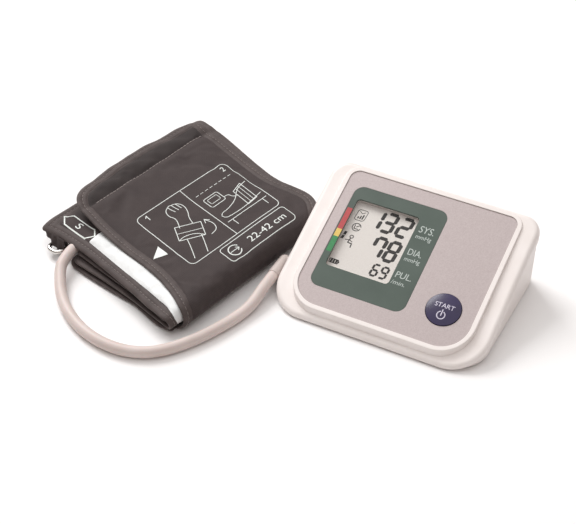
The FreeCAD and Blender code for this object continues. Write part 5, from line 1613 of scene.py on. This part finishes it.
# Its end is cut askew: over its last few millimetres its far edge comes in to this width.
SKEW_FROM, SKEW_WIDTH = inner_length(88.0), 17.9
band_long = BAND_END - BAND_START
band_rows, band_charts = [], []
for i in range(BAND_ROWS + 1):
    along = BAND_START + band_long * i / BAND_ROWS
    near_w = smooth_at(BAND_NEAR, along)
    far_w = flap_near(min(along - INNER_TOP + FLAP_TOP, flap_line.length)) + 5.0
    if along > SKEW_FROM:
        far_w = min(far_w, SKEW_WIDTH + 3.0 * (BAND_END - along))
    row, chart_row = [], []
    for j in range(BAND_COLUMNS + 1):
        w = near_w + (far_w - near_w) * j / BAND_COLUMNS
        lift = 0.5 if 0 < j < BAND_COLUMNS and 0 < i < BAND_ROWS else 0.22
        row.append(on_layer(tongue_tree, inner_surface, w, along, lift))
        chart_row.append((w, along))
    band_rows.append(row)
    band_charts.append(chart_row)
band = lofted("range_band", band_rows, band_charts, satin)
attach(band, "cuff")

# %% [markdown]
# The binding is sewn with a lockstitch, a little over three stitches to the centimetre, in
# the groove of the tape. Each stitch is a short bead of thread that rises out of the cloth
# and goes back in, and its ends are what make a sewn line look sewn. A painted line would
# have no relief, so the stitches are small closed meshes, all of one seam in one piece.

# %% Lockstitch seams
THREAD = {"grain_mm": 0.6, "detail": 3.0, "strength": 0.3, "depth_mm": 0.05, "Roughness": 0.5}


def sewn_line(name, row, tree, surface, material, pitch=3.1, long=2.4, radius=0.26):
    """Beads of thread along a row of chart points, on the outside of a layer."""
    line = SideLine(row)
    spots, faces = [], []
    for number in range(int(line.length / pitch)):
        start = number * pitch
        ends = [line.at(start + long * share) for share in (0.0, 0.5, 1.0)]
        middle = [
            on_layer(tree, surface, w, along, high) for (w, along), high in zip(ends, (-0.05, 0.16, -0.05))
        ]
        onward = (middle[2] - middle[0]).normalized()
        out = (cuff_frame.to_3x3() @ outward(surface, *ends[1])[1]).normalized()
        side = onward.cross(out).normalized()
        first = len(spots)
        for place, thick in (
            (middle[0], 0.5), (middle[0].lerp(middle[1], 0.55), 1.0),
            (middle[2].lerp(middle[1], 0.55), 1.0), (middle[2], 0.5),
        ):
            for corner in range(6):
                turn = math.radians(60 * corner)
                spots.append(place + (side * math.cos(turn) + out * math.sin(turn)) * radius * thick * MM)
        for ring in range(3):
            for corner in range(6):
                a, b = first + ring * 6 + corner, first + ring * 6 + (corner + 1) % 6
                faces.append((a, b, b + 6, a + 6))
        faces.append(tuple(first + corner for corner in reversed(range(6))))
        faces.append(tuple(first + 18 + corner for corner in range(6)))
    mesh = bpy.data.meshes.new(name)
    mesh.from_pydata(spots, [], faces)
    mesh.materials.append(material)
    for face in mesh.polygons:
        face.use_smooth = len(face.vertices) == 4
    print(name, "has", len(spots) // 24, "stitches")
    return linked(name, mesh)


def binding_row(outline):
    """The closed row of chart points along which a binding is sewn."""
    row = [spot for spot, _ in inset(outline, SEWN_AT, 0.1)]
    return row + row[:1]


tape_thread = mottled("polyester_thread_grey", "#6b5f5c", "#857976", IOR=1.5, Sheen_Weight=0.2, **THREAD)
seam_thread = mottled("polyester_thread_pale", "#9c918d", "#b6aba7", IOR=1.5, Sheen_Weight=0.2, **THREAD)
flap_sewing = sewn_line(
    "flap_binding_stitches", binding_row(flap_outline), flap_tree, flap_surface, tape_thread,
)
seam_row = [tuple(a + (b - a) * (k + 2.5) / 46 for a, b in zip(*flap_seam)) for k in range(42)]
seam_sewing = sewn_line("flap_seam_stitches", seam_row, flap_tree, flap_surface, seam_thread, long=2.8)
for sewing in (flap_sewing, seam_sewing):
    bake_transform(sewing)
tongue_sewing = sewn_line(
    "inner_binding_stitches", binding_row(tongue_outline), tongue_tree, inner_surface, tape_thread,
)
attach(tongue_sewing, "cuff")

# %% [markdown]
# The print on the cloth is plain white screen ink: a frame with two panels that show how
# the cuff goes on, an index triangle, a box with the range of arm sizes, and the size letter
# in a hexagon. The drawings are line art made of short strokes. Rounding a rough line of
# points twice by cutting its corners gives the soft curves of such drawings.

# %% Line art for the cuff
def eased(points):
    """Cuts the corners of a rough line twice, so that it becomes a smooth one."""
    for _ in range(2):
        cut = []
        for (ax, ay), (bx, by) in zip(points, points[1:]):
            cut.append((ax * 0.75 + bx * 0.25, ay * 0.75 + by * 0.25))
            cut.append((ax * 0.25 + bx * 0.75, ay * 0.25 + by * 0.75))
        points = [points[0]] + cut + [points[-1]]
    return points


# The print runs a little askew on the cloth, more the further it is from this line.
PRINT_LEAN, UPRIGHT_AT = 0.125, 50.0
PRINT_LINE, THIN_LINE = 0.52, 0.4

# Closed: the frame, the cuff in each panel, the monitor, and the arm-size box.
CLOSED_LINES = (
    round_box(34.2, 20.6, 118.0, 79.2, 4.0), [(43.0, 43.5), (49.0, 55.0), (66.0, 47.0), (60.0, 35.5)],
    [(101.5, 36.0), (110.5, 37.0), (111.5, 55.6), (102.5, 52.6)], round_box(81.0, 51.0, 94.0, 61.0, 1.6),
    round_box(55.6, 3.6, 116.4, 18.0, 2.6),
)
STRAIGHT_LINES = (
    [(75.6, 20.6), (75.6, 79.2)], [(71.3, 44.0), (69.0, 46.8), (67.4, 43.6)], [(79.0, 33.0), (115.6, 33.0)],
    [(83.0, 33.0), (83.0, 27.0)], [(112.0, 33.0), (112.0, 27.0)], [(60.4, 10.8), (67.6, 10.8)],
    [(66.0, 12.4), (67.8, 10.8), (66.0, 9.2)],
)
THIN_LINES = (
    [(46.0, 49.3), (63.0, 41.3)], [(104.6, 36.6), (105.6, 53.4)], [(107.6, 36.8), (108.6, 54.4)],
    *([(80.0 + 4.4 * dash, 67.0), (82.4 + 4.4 * dash, 67.0)] for dash in range(8)),
)
# Eased, panel one: an arm goes up through an open cuff, and an arrow turns round it.
# Eased, panel two: the forearm on its table, and the hose from its cuff to the monitor.
EASED_LINES = (
    [(40.0, 24.5), (45.0, 34.0), (48.0, 41.0)], [(50.5, 23.0), (55.5, 32.0), (58.0, 37.5)],
    [(51.5, 52.5), (54.5, 58.0), (55.5, 62.0), (53.5, 66.0), (55.0, 71.5), (60.0, 73.5)],
    [(61.0, 49.5), (63.0, 56.0), (66.5, 60.5), (68.5, 67.0), (66.0, 72.0), (60.0, 73.5)],
    [(58.5, 73.0), (59.0, 69.5), (60.0, 66.5)], [(61.8, 73.0), (62.3, 69.5), (63.0, 66.5)],
    [(64.8, 71.8), (65.3, 69.0), (65.6, 66.5)], [(43.0, 43.5), (48.0, 44.5), (56.0, 41.5), (60.0, 35.5)],
    [(63.5, 33.0), (69.5, 34.0), (71.5, 40.0), (69.0, 46.5)],
    [(115.6, 54.6), (106.0, 53.0), (98.0, 45.5), (88.0, 42.5), (82.0, 42.5), (80.0, 40.2)],
    [(115.6, 38.6), (106.0, 37.0), (96.0, 35.8), (86.0, 36.2), (81.0, 37.0), (80.0, 40.2)],
    [(94.0, 53.4), (98.0, 53.0), (98.6, 49.4), (102.2, 47.4)],
)
# %% Draw the lines and lay them on the flap
drawing = []
for points in CLOSED_LINES:
    drawing += stroke_line(points, PRINT_LINE, closed=True)
for points in STRAIGHT_LINES:
    drawing += stroke_line(points, PRINT_LINE)
for points in EASED_LINES:
    drawing += stroke_line(eased(points), PRINT_LINE)
for points in THIN_LINES:
    drawing += stroke_line(points, THIN_LINE)
# The monitor's window, the open ring of the arm-size box, and the figure of panel one.
drawing += stroke_line(round_box(83.2, 54.0, 91.8, 59.0, 0.6), THIN_LINE, closed=True)
drawing += stroke_line(circle(64.0, 10.8, 4.6, 30, 330), 0.75)
drawing += stroke_line([(40.7, 75.5), (42.2, 76.8), (42.2, 72.6)], 0.6)
drawing = leaning(drawing, UPRIGHT_AT, PRINT_LEAN)
drawing += letters("panel_two", "2", 2.8, 4.2, (114.4, 72.6), PRINT_LEAN)
drawing += letters("arm_range", "22-42 cm", 34.0, 5.4, (72.0, 8.2), PRINT_LEAN)
drawing.append([(30.0, 50.6), (20.1, 44.9), (28.6, 40.2)])
flap_print = lay_on("flap_print", drawing, cuff_frame, flap_tree, white_ink, None, above=0.07, finest=2.2)
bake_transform(flap_print)

# %% Size mark on the tongue
HEXAGON = ((15.3, 122.8), (19.6, 118.1), (18.0, 96.7), (13.7, 92.1), (8.8, 96.5), (9.9, 116.8))
size_mark = stroke_line(list(HEXAGON), 0.9, closed=True)
letter_s = letters("size_letter", "S", 3.9, 5.2, (0.0, 0.0))
size_mark += [[(12.0 + y, 109.4 - x) for x, y in outline] for outline in letter_s]
lay_on("size_mark", size_mark, cuff_frame, tongue_tree, white_ink, "cuff", above=0.07, finest=1.8)
